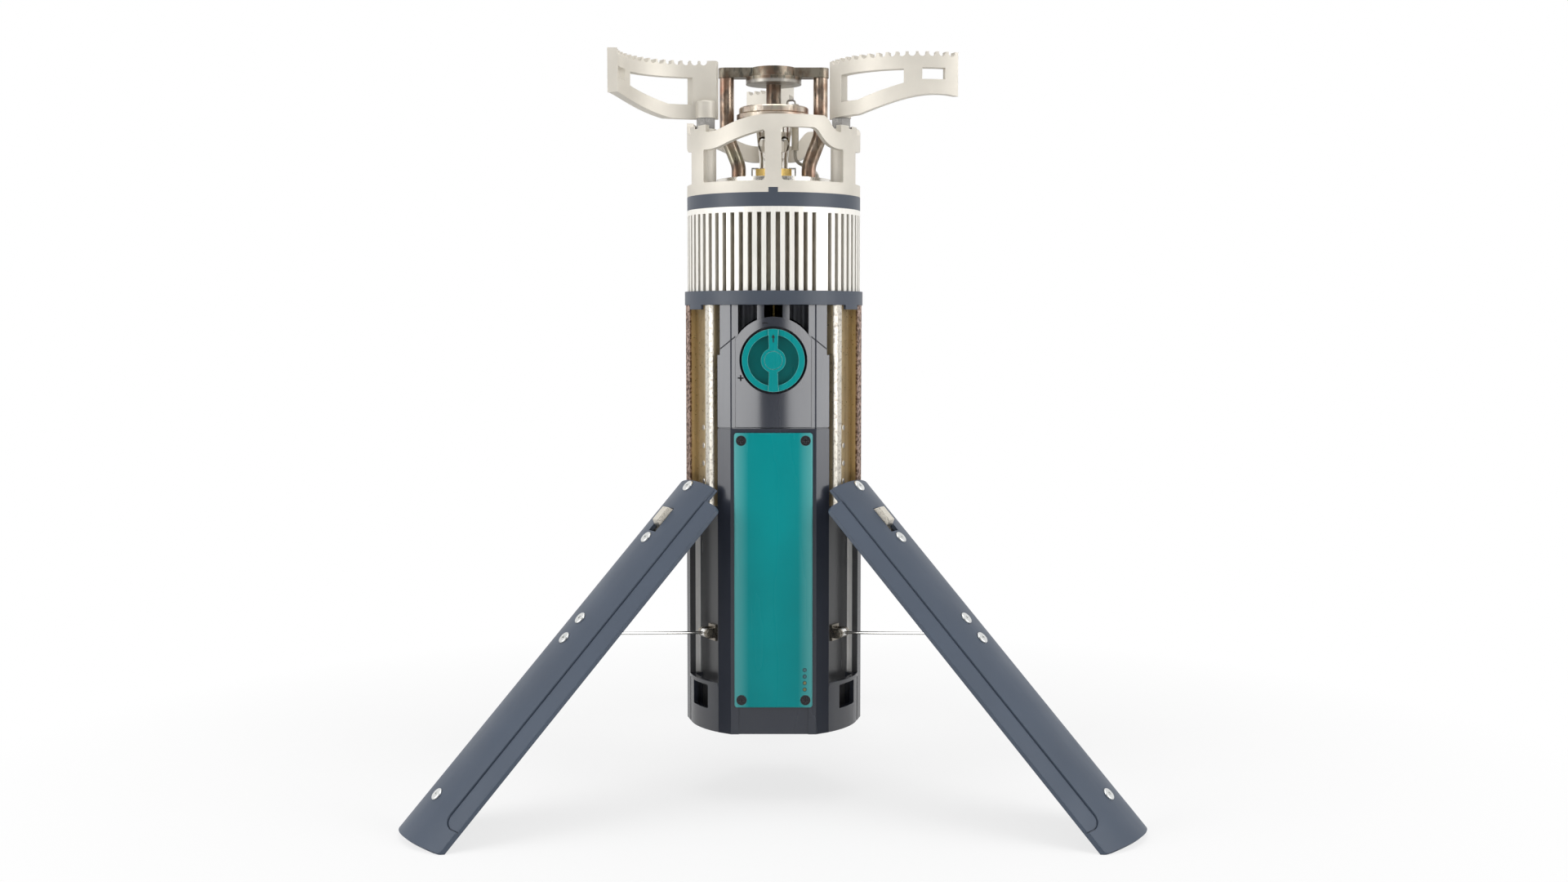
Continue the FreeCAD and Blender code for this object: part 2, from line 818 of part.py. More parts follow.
def finned_prism(z0, z1):
    """The sink's section: parallel-sided slots round a core, with a wide fin in each third."""
    pitch = 360.0 / fin_count
    wide = {round((wide_fin_offset + azimuth) / pitch - 0.5) % fin_count for azimuth in lobe_azimuths}
    slots = [(i + 0.5) * pitch for i in range(fin_count) if i not in wide]
    half_out = math.degrees(math.asin(fin_slot / 2 / sink_r))
    half_in = math.degrees(math.asin(fin_slot / 2 / sink_root_r))
    edges = []
    for here, after in zip(slots, slots[1:] + [slots[0] + 360.0]):
        lip_in = at(here - half_out, 0, sink_r, z0)
        root_in = at(here - half_in, 0, sink_root_r, z0)
        root_out = at(here + half_in, 0, sink_root_r, z0)
        lip_out = at(here + half_out, 0, sink_r, z0)
        fin_end = at(after - half_out, 0, sink_r, z0)
        fin_mid = at((here + after) / 2, 0, sink_r, z0)
        edges.append(Part.LineSegment(lip_in, root_in).toShape())
        edges.append(Part.LineSegment(root_in, root_out).toShape())
        edges.append(Part.LineSegment(root_out, lip_out).toShape())
        edges.append(Part.Arc(lip_out, fin_mid, fin_end).toShape())
    return Part.Face(Part.Wire(edges)).extrude(Vector(0, 0, z1 - z0))


def three_sided(inradius, reach, z0, z1):
    """A prism with a flat towards each lobe, cut back at its three edges."""
    half = inradius * math.tan(math.radians(third_turn / 2))
    points = [at(azimuth, half, inradius, z0) for azimuth in lobe_azimuths]
    return prism(points, Vector(0, 0, z1 - z0)).common(rod(reach, z0, z1))


def heat_sink():
    sink = finned_prism(sink_z, upper_collar_z)
    band = ring(sink_root_r - overcut, sink_r, upper_collar_z - fin_band_h, upper_collar_z)
    reach = block_flange_r + block_gap
    well = three_sided(sink_inradius, reach, sink_z - overcut, upper_collar_z + overcut)
    lead = rod(lead_r + lead_gap, sink_z - overcut, upper_collar_z + overcut, piezo_x, piezo_y)
    return sink.fuse(band).cut([well, lead]).removeSplitter()


def heat_pipe_points(side):
    low = side * pipe_low_x
    high = side * pipe_high_x
    return [
        Vector(low, 0, upper_collar_z + pass_gap + block_flange_h - pipe_seat),
        Vector(low, 0, deck_top_z + pipe_bend_low),
        Vector(high, 0, deck_top_z + pipe_bend_high),
        Vector(high, 0, bar_z),
    ]


def hot_block():
    block = three_sided(block_inradius, block_flange_r, sink_z + block_rise, upper_collar_z + pass_gap)
    flange_z = upper_collar_z + pass_gap
    flange = rod(block_flange_r, flange_z, flange_z + block_flange_h)
    cuts = [rod(block_bore_r, sink_z, flange_z + block_flange_h + overcut)]
    for side in (-1, 1):
        seat_z = flange_z + block_flange_h - pipe_seat
        cuts.append(rod(pipe_r + run_gap, seat_z, cage_z, side * pipe_low_x))
    cuts.append(rod(lead_r + lead_gap, flange_z - overcut, cage_z, piezo_x, piezo_y))
    return block.fuse(flange).cut(cuts).removeSplitter()


def thermoelectric_modules():
    low = sink_z + module_rise
    inner = block_inradius + fit_gap
    module = slab(-module_half, module_half, inner, inner + module_wall, low, low + module_h)
    return group([turned(module, azimuth) for azimuth in lobe_azimuths])


def upper_collar():
    collar = ring(block_flange_r + collar_gap, sink_r, upper_collar_z, cage_z)
    tab_top = cage_z + collar_tab_h
    tab_foot = cage_z - fit_gap
    tab = slab(-collar_tab_half, collar_tab_half, sink_r - collar_tab_wall, sink_r, tab_foot, tab_top)
    tab = tab.common(rod(sink_r, tab_foot, tab_top))
    lead = rod(lead_r + lead_gap, upper_collar_z - overcut, cage_z + overcut, piezo_x, piezo_y)
    return joined([collar, tab]).cut(lead)


def wrapped(points, middle, r, base):
    """Points given as an azimuth and a height, on a plane square to the middle azimuth."""
    return [Vector(r * math.sin(math.radians(a - middle)), 0, base + z) for a, z in points]


def radial_cutter(edges, middle, r_in, r_out):
    """A cutter whose outline, drawn on the plane X-Z, goes outwards from r_in to r_out at an azimuth."""
    face = Part.Face(Part.Wire(Part.__sortEdges__(edges)))
    face.translate(Vector(0, -r_in, 0))
    return turned(face.extrude(Vector(0, r_in - r_out, 0)), middle)


def curve_edges(curve, corners):
    """Edges of an outline: a smooth curve, closed by straight lines through the corners."""
    spline = Part.BSplineCurve()
    spline.interpolate(curve)
    chain = [curve[-1]] + corners + [curve[0]]
    lines = [Part.LineSegment(a, b).toShape() for a, b in zip(chain, chain[1:])]
    return [spline.toShape()] + lines


def cage_cutters(azimuth):
    """Everything that is cut away from the cage between two columns."""
    r_in = sink_r / 2
    r_out = sink_r + overcut
    above = overcut
    post = -cage_post_drop
    foot = cage_base_h - cage_h
    bar_edge = math.degrees(math.asin(cage_bar_half / sink_r))
    window_edge = third_turn / 2 - cage_post_half
    post_edge = cage_notch_edge + cage_post_half / 2
    cutters = []

    middle = -(window_edge + bar_edge) / 2
    rise = [(max(-window_edge, min(-bar_edge, a)), z) for a, z in window_rise]
    curve = wrapped(rise, middle, sink_r, cage_top_z)
    feet = wrapped([(-bar_edge, foot), (-window_edge, foot)], middle, sink_r, cage_top_z)
    cutters.append(radial_cutter(curve_edges(curve, feet), azimuth + middle, r_in, r_out))

    middle = -middle
    fall = [(min(window_edge, a), z) for a, z in window_fall]
    curve = wrapped(fall, middle, sink_r, cage_top_z)
    feet = [(window_edge, foot), (bar_edge, foot), (bar_edge, window_flat)]
    feet = wrapped(feet, middle, sink_r, cage_top_z)
    cutters.append(radial_cutter(curve_edges(curve, feet), azimuth + middle, r_in, r_out))

    middle = -cage_notch_edge / 2
    curve = wrapped(rail_rise, middle, sink_r, cage_top_z)
    corners = [(0, above), (-post_edge, above), (-post_edge, post), (-cage_notch_edge, post)]
    corners = wrapped(corners, middle, sink_r, cage_top_z)
    cutters.append(radial_cutter(curve_edges(curve, corners), azimuth + middle, r_in, r_out))

    middle = (rail_fall[0][0] + cage_notch_edge) / 2
    curve = wrapped(rail_fall, middle, sink_r, cage_top_z)
    corners = [(cage_notch_edge, post), (post_edge, post), (post_edge, above), (rail_fall[0][0], above)]
    corners = wrapped(corners, middle, sink_r, cage_top_z)
    cutters.append(radial_cutter(curve_edges(curve, corners), azimuth + middle, r_in, r_out))
    return cutters


def burner_cage():
    wall = ring(sink_r - cage_wall, sink_r, cage_z, cage_top_z)
    cutters = []
    for azimuth in lobe_azimuths:
        cutters += cage_cutters(azimuth)
    post_half = sink_r * math.sin(math.radians(third_turn / 2 - cage_notch_edge))
    for azimuth in leg_azimuths.values():
        top = slab(-post_half, post_half, sink_r / 2, sink_r + overcut, post_top_z, cage_top_z + overcut)
        cutters.append(turned(top, azimuth))
    notch_half = collar_tab_half + fit_gap
    notch_top = cage_z + collar_tab_h + fit_gap
    cutters.append(slab(-notch_half, notch_half, sink_r / 2, sink_r + overcut, cage_z - overcut, notch_top))
    cage = wall.cut(cutters)
    columns = []
    holes = []
    for azimuth in leg_azimuths.values():
        place = at(azimuth, 0, hub_r, 0)
        column = rod(hub_inset, cage_z, column_top_z, place.x, place.y)
        columns.append(column.common(rod(sink_r, cage_z, column_top_z)))
        holes.append(rod(rod_r + run_gap, cage_z - overcut, post_top_z + overcut, place.x, place.y))
        holes.append(rod(washer_r + pass_gap, column_top_z, post_top_z + overcut, place.x, place.y))
    return cage.fuse(columns).cut(holes).removeSplitter()


def arm_pivot_rods():
    top = arm_z + barrel_h - barrel_roof - pass_gap
    pivot = rod(rod_r, cage_z, top, 0, -hub_r)
    return group([turned(pivot, azimuth) for azimuth in leg_azimuths.values()])


def arm_washers():
    nut = hexagon(washer_r, column_top_z, arm_z - fit_gap)
    nut = nut.cut(rod(rod_r + run_gap, column_top_z - overcut, arm_z + overcut))
    nut.translate(Vector(0, -hub_r, 0))
    return group([turned(nut, azimuth) for azimuth in leg_azimuths.values()])


def arm_outline(points, base):
    """A straight-sided opening in an arm, drawn on the arm's outer face."""
    middle = sum(a for a, z in points) / len(points)
    corners = wrapped(points, middle, arm_out_r, base)
    edges = [Part.LineSegment(a, b).toShape() for a, b in zip(corners, corners[1:] + corners[:1])]
    return radial_cutter(edges, middle, arm_in_r / 2, arm_out_r + overcut)


def arm_underside():
    """What is cut from under an arm where it rises towards its tip."""
    middle = (arm_rise_start + arm_end) / 2
    past = arm_end + overcut
    rise = arm_tip_rise
    half_way = (arm_rise_start + arm_rise_end) / 2
    curve = [(arm_rise_start, 0.0), (half_way, rise / 2), (arm_rise_end, rise), (past, rise)]
    corners = [(past, -overcut), (arm_rise_start, -overcut)]
    curve = wrapped(curve, middle, arm_out_r, arm_z)
    corners = wrapped(corners, middle, arm_out_r, arm_z)
    edges = curve_edges(curve, corners)
    return radial_cutter(edges, middle, arm_in_r / 2, arm_out_r + overcut)


def folded_arm():
    """A pot arm at the front, wrapped round the ring as when it is put away."""
    plate = sector(arm_in_r, arm_out_r, arm_start, arm_end, arm_z, arm_top_z)
    cuts = [arm_outline(arm_window, arm_z), arm_outline(arm_slot, arm_z), arm_underside()]
    notch_z = arm_top_z - tooth_depth + tooth_r
    for i in range(tooth_count):
        notch = front_rod(tooth_r, arm_in_r - overcut, arm_out_r + overcut, notch_z)
        cuts.append(turned(notch, tooth_first + i * tooth_pitch))
    plate = plate.cut(cuts)
    barrel = rod(barrel_r, arm_z, arm_z + barrel_h, 0, -hub_r)
    rim = [e for e in barrel.Edges if e.BoundBox.ZMin > arm_z + barrel_h - run_gap]
    barrel = barrel.makeFillet(barrel_round, rim).common(rod(arm_out_r, arm_z, arm_top_z))
    hole = rod(rod_r + run_gap, arm_z - overcut, arm_z + barrel_h - barrel_roof, 0, -hub_r)
    return joined([plate, barrel]).cut(hole)


def pot_arm(side):
    arm = folded_arm()
    arm.rotate(Vector(0, -hub_r, 0), Vector(0, 0, 1), -arm_swings[side])
    return turned(arm, leg_azimuths[side])


def burner_deck():
    plate = rod(deck_r, deck_z, deck_top_z)
    skirt = ring(deck_r - deck_skirt, deck_r, cage_z, deck_top_z)
    holes = [rod(deck_hole_r, deck_z - overcut, deck_top_z + overcut)]
    for side in (-1, 1):
        holes.append(rod(pipe_r + fit_gap, deck_z - overcut, deck_top_z + overcut, side * pipe_low_x))
    holes.append(rod(lead_r + lead_gap, deck_z - overcut, deck_top_z + overcut, piezo_x, piezo_y))
    return joined([plate, skirt]).cut(holes)


def jet_nut():
    nut = hexagon(nut_across / math.sqrt(3), deck_top_z, nut_top_z)
    return nut.cut(rod(nut_bore_r, deck_top_z - overcut, nut_top_z + overcut))


def jet_clip():
    """Two spring straps that hook over the nut's edge beside the mixing tube."""
    clips = []
    for side in (-1, 1):
        top = nut_top_z + clip_wall
        leg = box(clip_half - clip_wall, clip_half, -clip_width, clip_width, deck_top_z, top)
        hook = box(tube_r + pass_gap, clip_half, -clip_width, clip_width, nut_top_z, top)
        clips.append(turned(joined([leg, hook]), 90 - side * 90))
    return group(clips)


def mixing_tube():
    straight_z = nut_top_z + tube_cone_low
    cone_z = bowl_z - tube_cone_high
    outline = [
        Vector(tube_r - tube_wall, 0, nut_top_z),
        Vector(tube_r, 0, nut_top_z),
        Vector(tube_r, 0, straight_z),
        Vector(tube_top_r, 0, cone_z),
        Vector(tube_top_r, 0, bowl_z),
        Vector(tube_top_r - tube_wall, 0, bowl_z),
        Vector(tube_top_r - tube_wall, 0, cone_z),
        Vector(tube_r - tube_wall, 0, straight_z),
    ]
    face = Part.Face(Part.makePolygon(outline + outline[:1]))
    tube = face.revolve(Vector(0, 0, 0), Vector(0, 0, 1), 360)
    holes = []
    for k in range(air_hole_count):
        hole = front_rod(air_hole_r, tube_r / 2, tube_top_r + overcut, nut_top_z + air_hole_rise)
        holes.append(turned(hole, 360.0 * (k + 0.5) / air_hole_count))
    return tube.cut(holes)


def insulator_hole(z0, z1):
    return rod(insulator_r + fit_gap, z0, z1, insulator_x, insulator_y)


def burner_bowl():
    bowl = rod(bowl_r, bowl_z, cap_z)
    rim = [e for e in bowl.Edges if abs(e.BoundBox.ZMax - bowl_z) < run_gap]
    bowl = bowl.makeChamfer(bowl_wall * 1.5, rim)
    hollow = rod(bowl_r - 2 * bowl_wall, bowl_z + bowl_wall, cap_z + overcut)
    throat = rod(tube_r - tube_wall, bowl_z - overcut, cap_z)
    sleeve = ring(insulator_r + fit_gap, insulator_r + bowl_wall, bowl_z + bowl_wall / 2, cap_z)
    sleeve.translate(Vector(insulator_x, insulator_y, 0))
    bowl = bowl.cut([hollow, throat, insulator_hole(bowl_z - overcut, cap_z)])
    return bowl.fuse(sleeve).removeSplitter()


def burner_cap():
    cap = rod(cap_r, cap_z, post_z)
    rims = [e for e in cap.Edges if e.Curve.TypeId == "Part::GeomCircle"]
    cap = cap.makeChamfer(cap_chamfer, rims)
    return cap.cut(insulator_hole(cap_z - overcut, post_z + overcut))


def heat_collector():
    """The plate over the flame, on its post, with the bar that joins the tops of the heat pipes."""
    post = rod(post_r, post_z, collector_z)
    disc = rod(collector_disc_r, collector_z, bar_z)
    hub = rod(collector_hub_r, bar_z, bar_z + collector_bar_h)
    reach = pipe_high_x
    bar = box(-reach, reach, -collector_bar_half, collector_bar_half, bar_z, bar_z + collector_bar_h)
    ends = [rod(collector_bar_half, bar_z, bar_z + collector_bar_h, side * reach) for side in (-1, 1)]
    return joined([post, disc, hub, bar] + ends)


def heat_pipe(side):
    return bent_rod(heat_pipe_points(side), pipe_r, pipe_bend_r)


def igniter_insulator():
    return rod(insulator_r, insulator_z, insulator_top_z, insulator_x, insulator_y)


def igniter_electrode():
    high = insulator_top_z + electrode_rise
    points = [
        Vector(insulator_x, insulator_y, insulator_top_z),
        Vector(insulator_x, insulator_y, high),
        Vector(insulator_x - electrode_reach, insulator_y, high),
        Vector(insulator_x - electrode_reach, insulator_y, post_z + electrode_r * 2),
    ]
    return bent_rod(points, electrode_r, electrode_bend_r)


def igniter_lead():
    """The spark lead, from the insulator across the deck and down to the piezo unit."""
    points = [
        Vector(insulator_x, insulator_y, insulator_z),
        Vector(insulator_x, insulator_y, insulator_z - lead_drop),
        Vector(piezo_x, piezo_y, insulator_z - 2 * lead_drop),
        Vector(piezo_x, piezo_y, valve_floor_z + piezo_h),
    ]
    return bent_rod(points, lead_r, lead_bend_r)


def leg_rail():
    """A channel with its edges turned in."""
    pieces = [slab(-rail_half, rail_half, rail_seat_r, rail_web_r, rail_z, rail_top_z)]
    for hand in (-1, 1):
        flange = sorted((hand * rail_half, hand * (rail_half - rail_wall)))
        lip = sorted((hand * rail_half, hand * (rail_half - rail_lip)))
        pieces.append(slab(*flange, rail_seat_r, rail_edge_r, rail_z, rail_top_z))
        pieces.append(slab(*lip, rail_edge_r - rail_wall, rail_edge_r, rail_z, rail_top_z))
    rail = joined(pieces)
    holes = []
    for i in range(rail_hole_count):
        z = rail_top_z - rail_hole_top - i * rail_hole_pitch
        holes.append(front_rod(rail_hole_r, rail_seat_r - overcut, rail_web_r + overcut, z))
    return rail.cut(holes)


def leg_rails():
    return group([turned(leg_rail(), azimuth) for azimuth in leg_azimuths.values()])


def strut_bracket():
    """The strut's anchor: a plate on the bay floor with two ears and a pin."""
    inner = strut_eye_half + pass_gap
    outer = inner + bracket_wall
    plate_z = bracket_z - bracket_plate_h / 2
    plate = slab(-outer, outer, bay_floor_r, bay_floor_r + bracket_wall, plate_z, plate_z + bracket_plate_h)
    pieces = [plate]
    for side in (-1, 1):
        low = min(side * inner, side * outer)
        high = low + bracket_wall
        ear_z = bracket_z - bracket_ear_r
        ear = slab(low, high, bay_floor_r, bracket_r, ear_z, ear_z + 2 * bracket_ear_r)
        pieces += [ear, side_disc(bracket_ear_r, low, high, bracket_r, bracket_z)]
    pieces.append(cross_rod(strut_pin_r, outer, bracket_r, bracket_z))
    for low in (-outer - bracket_head_h, outer):
        pieces.append(side_disc(bracket_head_r, low, low + bracket_head_h, bracket_r, bracket_z))
    return joined(pieces)


def strut_brackets():
    return group([turned(strut_bracket(), azimuth) for azimuth in leg_azimuths.values()])


def leg_place(out, along):
    """Where a point of a leg stands with the legs out: its distance from the axis and its height."""
    inward = out - pivot_r
    return (
        pivot_r + inward * tilt_cos + along * tilt_sin,
        pivot_z + inward * tilt_sin - along * tilt_cos,
    )


def foot_along():
    """Length from the pivot to the foot's end, so that the foot's corners stand on the ground."""
    return (pivot_z + (leg_in_r - pivot_r) * tilt_sin - foot_stand) / tilt_cos


def strut_end():
    return leg_place(strut_leg_r, strut_along)


def folded_pivot_z():
    """Height of the leg's pivot when the leg is folded up against the body."""
    out, z = strut_end()
    length = math.hypot(out - bracket_r, z - bracket_z)
    return bracket_z + math.sqrt(length**2 - (strut_leg_r - bracket_r) ** 2) + strut_along


def stood(shape, side):
    """Tilts a leg piece, drawn hanging from its pivot at the front, to its place with the legs out."""
    piece = shape.copy()
    piece.translate(Vector(0, 0, pivot_z))
    piece.rotate(Vector(0, -pivot_r, pivot_z), Vector(1, 0, 0), -leg_tilt)
    return turned(piece, leg_azimuths[side])


def foot_bow():
    """What is cut from below the bowed end of a foot."""
    low = -foot_along()
    side = shell_across + overcut
    block = slab(-side, side, 0, leg_out_r + overcut, low - overcut, low + foot_bow_r / 2)
    return block.cut(front_rod(foot_bow_r, -overcut, leg_out_r + 2 * overcut, low + foot_bow_r))


def strip_cutter(hand, depth, grow):
    """The sunk strip along one side of a leg, with a rounded corner and an end that follows the bow."""
    inner = strip_across - grow
    outer = shell_across + overcut
    low = -foot_along() + strip_foot - grow
    rise = (outer**2 - inner**2) / (2 * foot_bow_r)
    corners = [(inner, low), (outer, low + rise), (outer, overcut), (inner, overcut)]
    strip = prism([Vector(across, 0, z) for across, z in corners], Vector(0, -leg_out_r - overcut, 0))
    corner = [e for e in strip.Edges if all(abs(v.Z - low) < run_gap for v in e.Vertexes)]
    strip = strip.makeFillet(strip_corner_r + grow, corner)
    strip = strip.common(ring(leg_out_r - depth, leg_out_r + overcut, -foot_along(), overcut))
    if hand < 0:
        strip = strip.mirror(Vector(0, 0, 0), Vector(1, 0, 0))
    return strip


def side_corners(shell, z0, z1):
    """Edges through the wall at a shell's two sides, between two heights."""
    picked = []
    for edge in shell.Edges:
        span = edge.BoundBox
        beside = span.XLength < run_gap and abs(abs(span.XMin) - shell_across) < run_gap
        if beside and z0 < span.ZMin and span.ZMax < z1:
            picked.append(edge)
    return picked


def rivet_holes(r_in, r_out):
    return [front_rod(rivet_r + run_gap, r_in, r_out, -along) for along in rivet_along]


def leg_shell(side):
    foot = foot_along()
    past = leg_out_r + overcut
    tongue = ring(leg_in_r, leg_out_r, -strip_top - overcut, tongue_rise)
    tongue = tongue.common(slab(-strip_across, strip_across, 0, past, -foot, tongue_rise))
    main = ring(leg_in_r, leg_out_r, -foot, -strip_top)
    main = main.common(slab(-shell_across, shell_across, 0, past, -foot, -strip_top)).cut(foot_bow())
    main = main.makeFillet(strip_top_r, side_corners(main, -strip_top - run_gap, -strip_top + run_gap))
    main = main.makeFillet(foot_corner_r, side_corners(main, -foot - overcut, -foot + foot_bow_r / 4))
    shell = main.fuse(tongue).removeSplitter()
    cuts = []
    for hand in (-1, 1):
        strip = strip_cutter(hand, strip_depth, 0.0)
        inside = strip_cutter(hand, 2 * groove_depth, 0.0)
        cuts.append(strip)
        cuts.append(strip_cutter(hand, groove_depth, groove_width).cut(inside))
    cuts += rivet_holes(leg_in_r - overcut, leg_out_r + overcut)
    slot = button_half + pass_gap
    slot_top = -button_along + button_half_length + pass_gap
    slot_low = -button_along - button_half_length - button_travel - pass_gap
    cuts.append(slab(-slot, slot, leg_in_r / 2, leg_out_r + overcut, slot_low, slot_top))
    shell = stood(shell.cut(cuts), side)
    reach = 3 * leg_out_r + foot
    return shell.cut(box(-reach, reach, -reach, reach, -reach, 0))


def leg_spine(side):
    """A channel inside the leg's shell, with ears on the carriage's trunnions and the strut's pin."""
    foot = foot_along()
    flange_end = folded_pivot_z() - cup_top_z - rivet_head_r
    web = slab(-spine_half, spine_half, web_in_r, web_out_r, -foot + spine_foot_gap, -spine_tongue)
    tongue_low = -spine_tongue - overcut
    tongue = slab(-spine_tongue_half, spine_tongue_half, web_in_r, web_out_r, tongue_low, -run_gap)
    pieces = [web, tongue]
    for hand in (-1, 1):
        low = min(hand * spine_half, hand * (spine_half - spine_wall))
        pieces.append(slab(low, low + spine_wall, flange_in_r, web_out_r, -flange_end, 0))
        pieces.append(side_disc(ear_r, low, low + spine_wall, pivot_r, 0))
    pieces.append(cross_rod(strut_pin_r, spine_half, strut_leg_r, -strut_along))
    cuts = rivet_holes(web_in_r - overcut, web_out_r + overcut)
    cuts.append(cross_rod(pin_r + run_gap, spine_half + overcut, pivot_r, 0))
    return stood(joined(pieces).cut(cuts), side)


def leg_rivet(along):
    shank = front_rod(rivet_r, web_in_r - rivet_tail_h, leg_out_r + rivet_head_h, -along)
    head = front_rod(rivet_head_r, leg_out_r, leg_out_r + rivet_head_h, -along)
    rim = [e for e in head.Edges if abs(e.BoundBox.YMin + leg_out_r + rivet_head_h) < run_gap]
    head = head.makeFillet(rivet_head_h * 0.7, [e for e in rim if e.Length > rivet_head_r])
    tail = front_rod(rivet_tail_r, web_in_r - rivet_tail_h, web_in_r, -along)
    socket = front_rod(rivet_socket_r, leg_out_r + rivet_head_h / 2, leg_out_r + overcut, -along)
    return joined([shank, head, tail]).cut(socket)


def leg_rivets(side):
    return group([stood(leg_rivet(along), side) for along in rivet_along])


def latch_button(side):
    """A sloped thumb button that slides in the leg's slot, on a plate under the shell."""
    plate_in = plate_out_r - button_plate_wall
    plate_low = -button_along - button_plate_tail
    top = leg_out_r + button_proud
    base = [(-button_half, -button_half_length), (button_half, -button_half_length),
            (button_half, button_half_length), (-button_half, button_half_length)]
    crown = [(button_top_half / button_half * x, button_top_half / button_half * z) for x, z in base]
    shoulder = leg_out_r - shell_wall / 2
    low_wire = Part.makePolygon([Vector(x, -shoulder, z - button_along) for x, z in base + base[:1]])
    top_wire = Part.makePolygon([Vector(x, -top, z - button_along) for x, z in crown + crown[:1]])
    thumb = Part.makeLoft([low_wire, top_wire], True, True)
    neck = slab(-button_half, button_half, plate_in, shoulder, -button_along - button_half_length,
                -button_along + button_half_length)
    plate_top = plate_low + button_plate_length
    plate = slab(-button_plate_half, button_plate_half, plate_in, plate_out_r, plate_low, plate_top)
    return stood(joined([thumb, neck, plate]), side)


def strut(side):
    """A wire strut with an eye at each end."""
    out, z = strut_end()
    start = Vector(0, -bracket_r, bracket_z)
    end = Vector(0, -out, z)
    run = end - start
    wire = Part.makeCylinder(strut_wire_r, run.Length, start, run)
    reach = strut_eye_half + overcut
    eyes = []
    holes = []
    for eye_out, eye_z in ((bracket_r, bracket_z), (out, z)):
        eyes.append(cross_rod(strut_eye_r, strut_eye_half, eye_out, eye_z))
        holes.append(cross_rod(strut_pin_r + run_gap, reach, eye_out, eye_z))
    return turned(joined([wire] + eyes).cut(holes), leg_azimuths[side])


def carriage(side):
    """The block that slides in the rail, with two ears and the trunnions the leg hangs on."""
    block = slab(
        -carriage_half, carriage_half, carriage_back_r, carriage_face_r,
        pivot_z - carriage_drop, pivot_z + carriage_rise,
    )
    pieces = [block]
    inner = spine_tongue_half + pass_gap
    for low, high in ((-carriage_half, -inner), (inner, carriage_half)):
        pieces.append(side_disc(ear_r, low, high, pivot_r, pivot_z))
    for low, high in ((-spine_half, -inner), (inner, spine_half)):
        pieces.append(side_disc(pin_r, low, high, pivot_r, pivot_z))
    return turned(joined(pieces), leg_azimuths[side])


def all_parts():
    parts = {
        "lower_housing": lower_housing(),
        "base_cups": base_cups(),
        "upper_housing": upper_housing(),
        "front_panel": front_panel(),
        "panel_screws": panel_screws(),
        "charge_leds": charge_leds(),
        "battery_pack": battery_pack(),
        "control_board": control_board(),
        "usb_socket": usb_socket(),
        "lower_collar": lower_collar(),
        "heat_sink": heat_sink(),
        "upper_collar": upper_collar(),
        "burner_cage": burner_cage(),
        "burner_deck": burner_deck(),
        "hot_block": hot_block(),
        "thermoelectric_modules": thermoelectric_modules(),
        "heat_pipe_left": heat_pipe(-1),
        "heat_pipe_right": heat_pipe(1),
        "heat_collector": heat_collector(),
        "burner_cap": burner_cap(),
        "burner_bowl": burner_bowl(),
        "mixing_tube": mixing_tube(),
        "jet_nut": jet_nut(),
        "jet_clip": jet_clip(),
        "igniter_insulator": igniter_insulator(),
        "igniter_electrode": igniter_electrode(),
        "igniter_lead": igniter_lead(),
        "piezo_unit": piezo_unit(),
        "valve_body": valve_body(),
        "gas_pipe": gas_pipe(),
        "cartridge_connector": cartridge_connector(),
        "connector_seal": connector_seal(),
        "leg_rails": leg_rails(),
        "strut_brackets": strut_brackets(),
        "arm_pivot_rods": arm_pivot_rods(),
        "arm_washers": arm_washers(),
        "control_knob": control_knob(),
        "knob_cap": knob_cap(),
        "valve_spindle": valve_spindle(),
    }
    for side in leg_azimuths:
        parts["pot_arm_" + side] = pot_arm(side)
        parts["leg_shell_" + side] = leg_shell(side)
        parts["leg_spine_" + side] = leg_spine(side)
        parts["leg_rivets_" + side] = leg_rivets(side)
        parts["latch_button_" + side] = latch_button(side)
        parts["strut_" + side] = strut(side)
        parts["carriage_" + side] = carriage(side)
    return parts


def main():
    os.makedirs("parts", exist_ok=True)
    for name, shape in all_parts().items():
        shape.exportStep("parts/" + name + ".step")
        state = "valid" if shape.isValid() else "not valid"
        print(name, len(shape.Solids), state, round(shape.Volume, 1))


if __name__ == "__main__":
    main()
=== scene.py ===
import bmesh
import bpy
import math

from mathutils import Matrix, Vector


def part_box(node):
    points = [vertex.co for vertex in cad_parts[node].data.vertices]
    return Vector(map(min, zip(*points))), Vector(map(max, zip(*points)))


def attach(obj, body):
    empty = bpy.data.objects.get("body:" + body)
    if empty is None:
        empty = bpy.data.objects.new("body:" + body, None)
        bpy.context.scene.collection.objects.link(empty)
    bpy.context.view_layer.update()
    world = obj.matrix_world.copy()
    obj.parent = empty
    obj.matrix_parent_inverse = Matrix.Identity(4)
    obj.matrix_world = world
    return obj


# A portable gas stove on three folding legs. Metres; Z is up, and the knob and front panel face -Y.
# An azimuth turns from the front towards +X.

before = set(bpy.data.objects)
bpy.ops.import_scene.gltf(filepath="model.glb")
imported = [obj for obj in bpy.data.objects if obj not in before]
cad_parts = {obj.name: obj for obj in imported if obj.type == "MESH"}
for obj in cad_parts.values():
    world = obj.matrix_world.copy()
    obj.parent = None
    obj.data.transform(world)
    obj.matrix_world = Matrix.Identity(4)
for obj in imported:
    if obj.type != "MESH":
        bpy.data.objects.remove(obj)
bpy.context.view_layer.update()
scene = bpy.context.scene

MM = 0.001

# Margin of the masks that pick out single faces
HAIR = 0.1 * MM

# Layout round the axis
SIDES = ("left", "right", "rear")
LEG_AZIMUTHS = {"left": -60.0, "right": 60.0, "rear": 180.0}
LOBE_AZIMUTHS = (0.0, 120.0, 240.0)

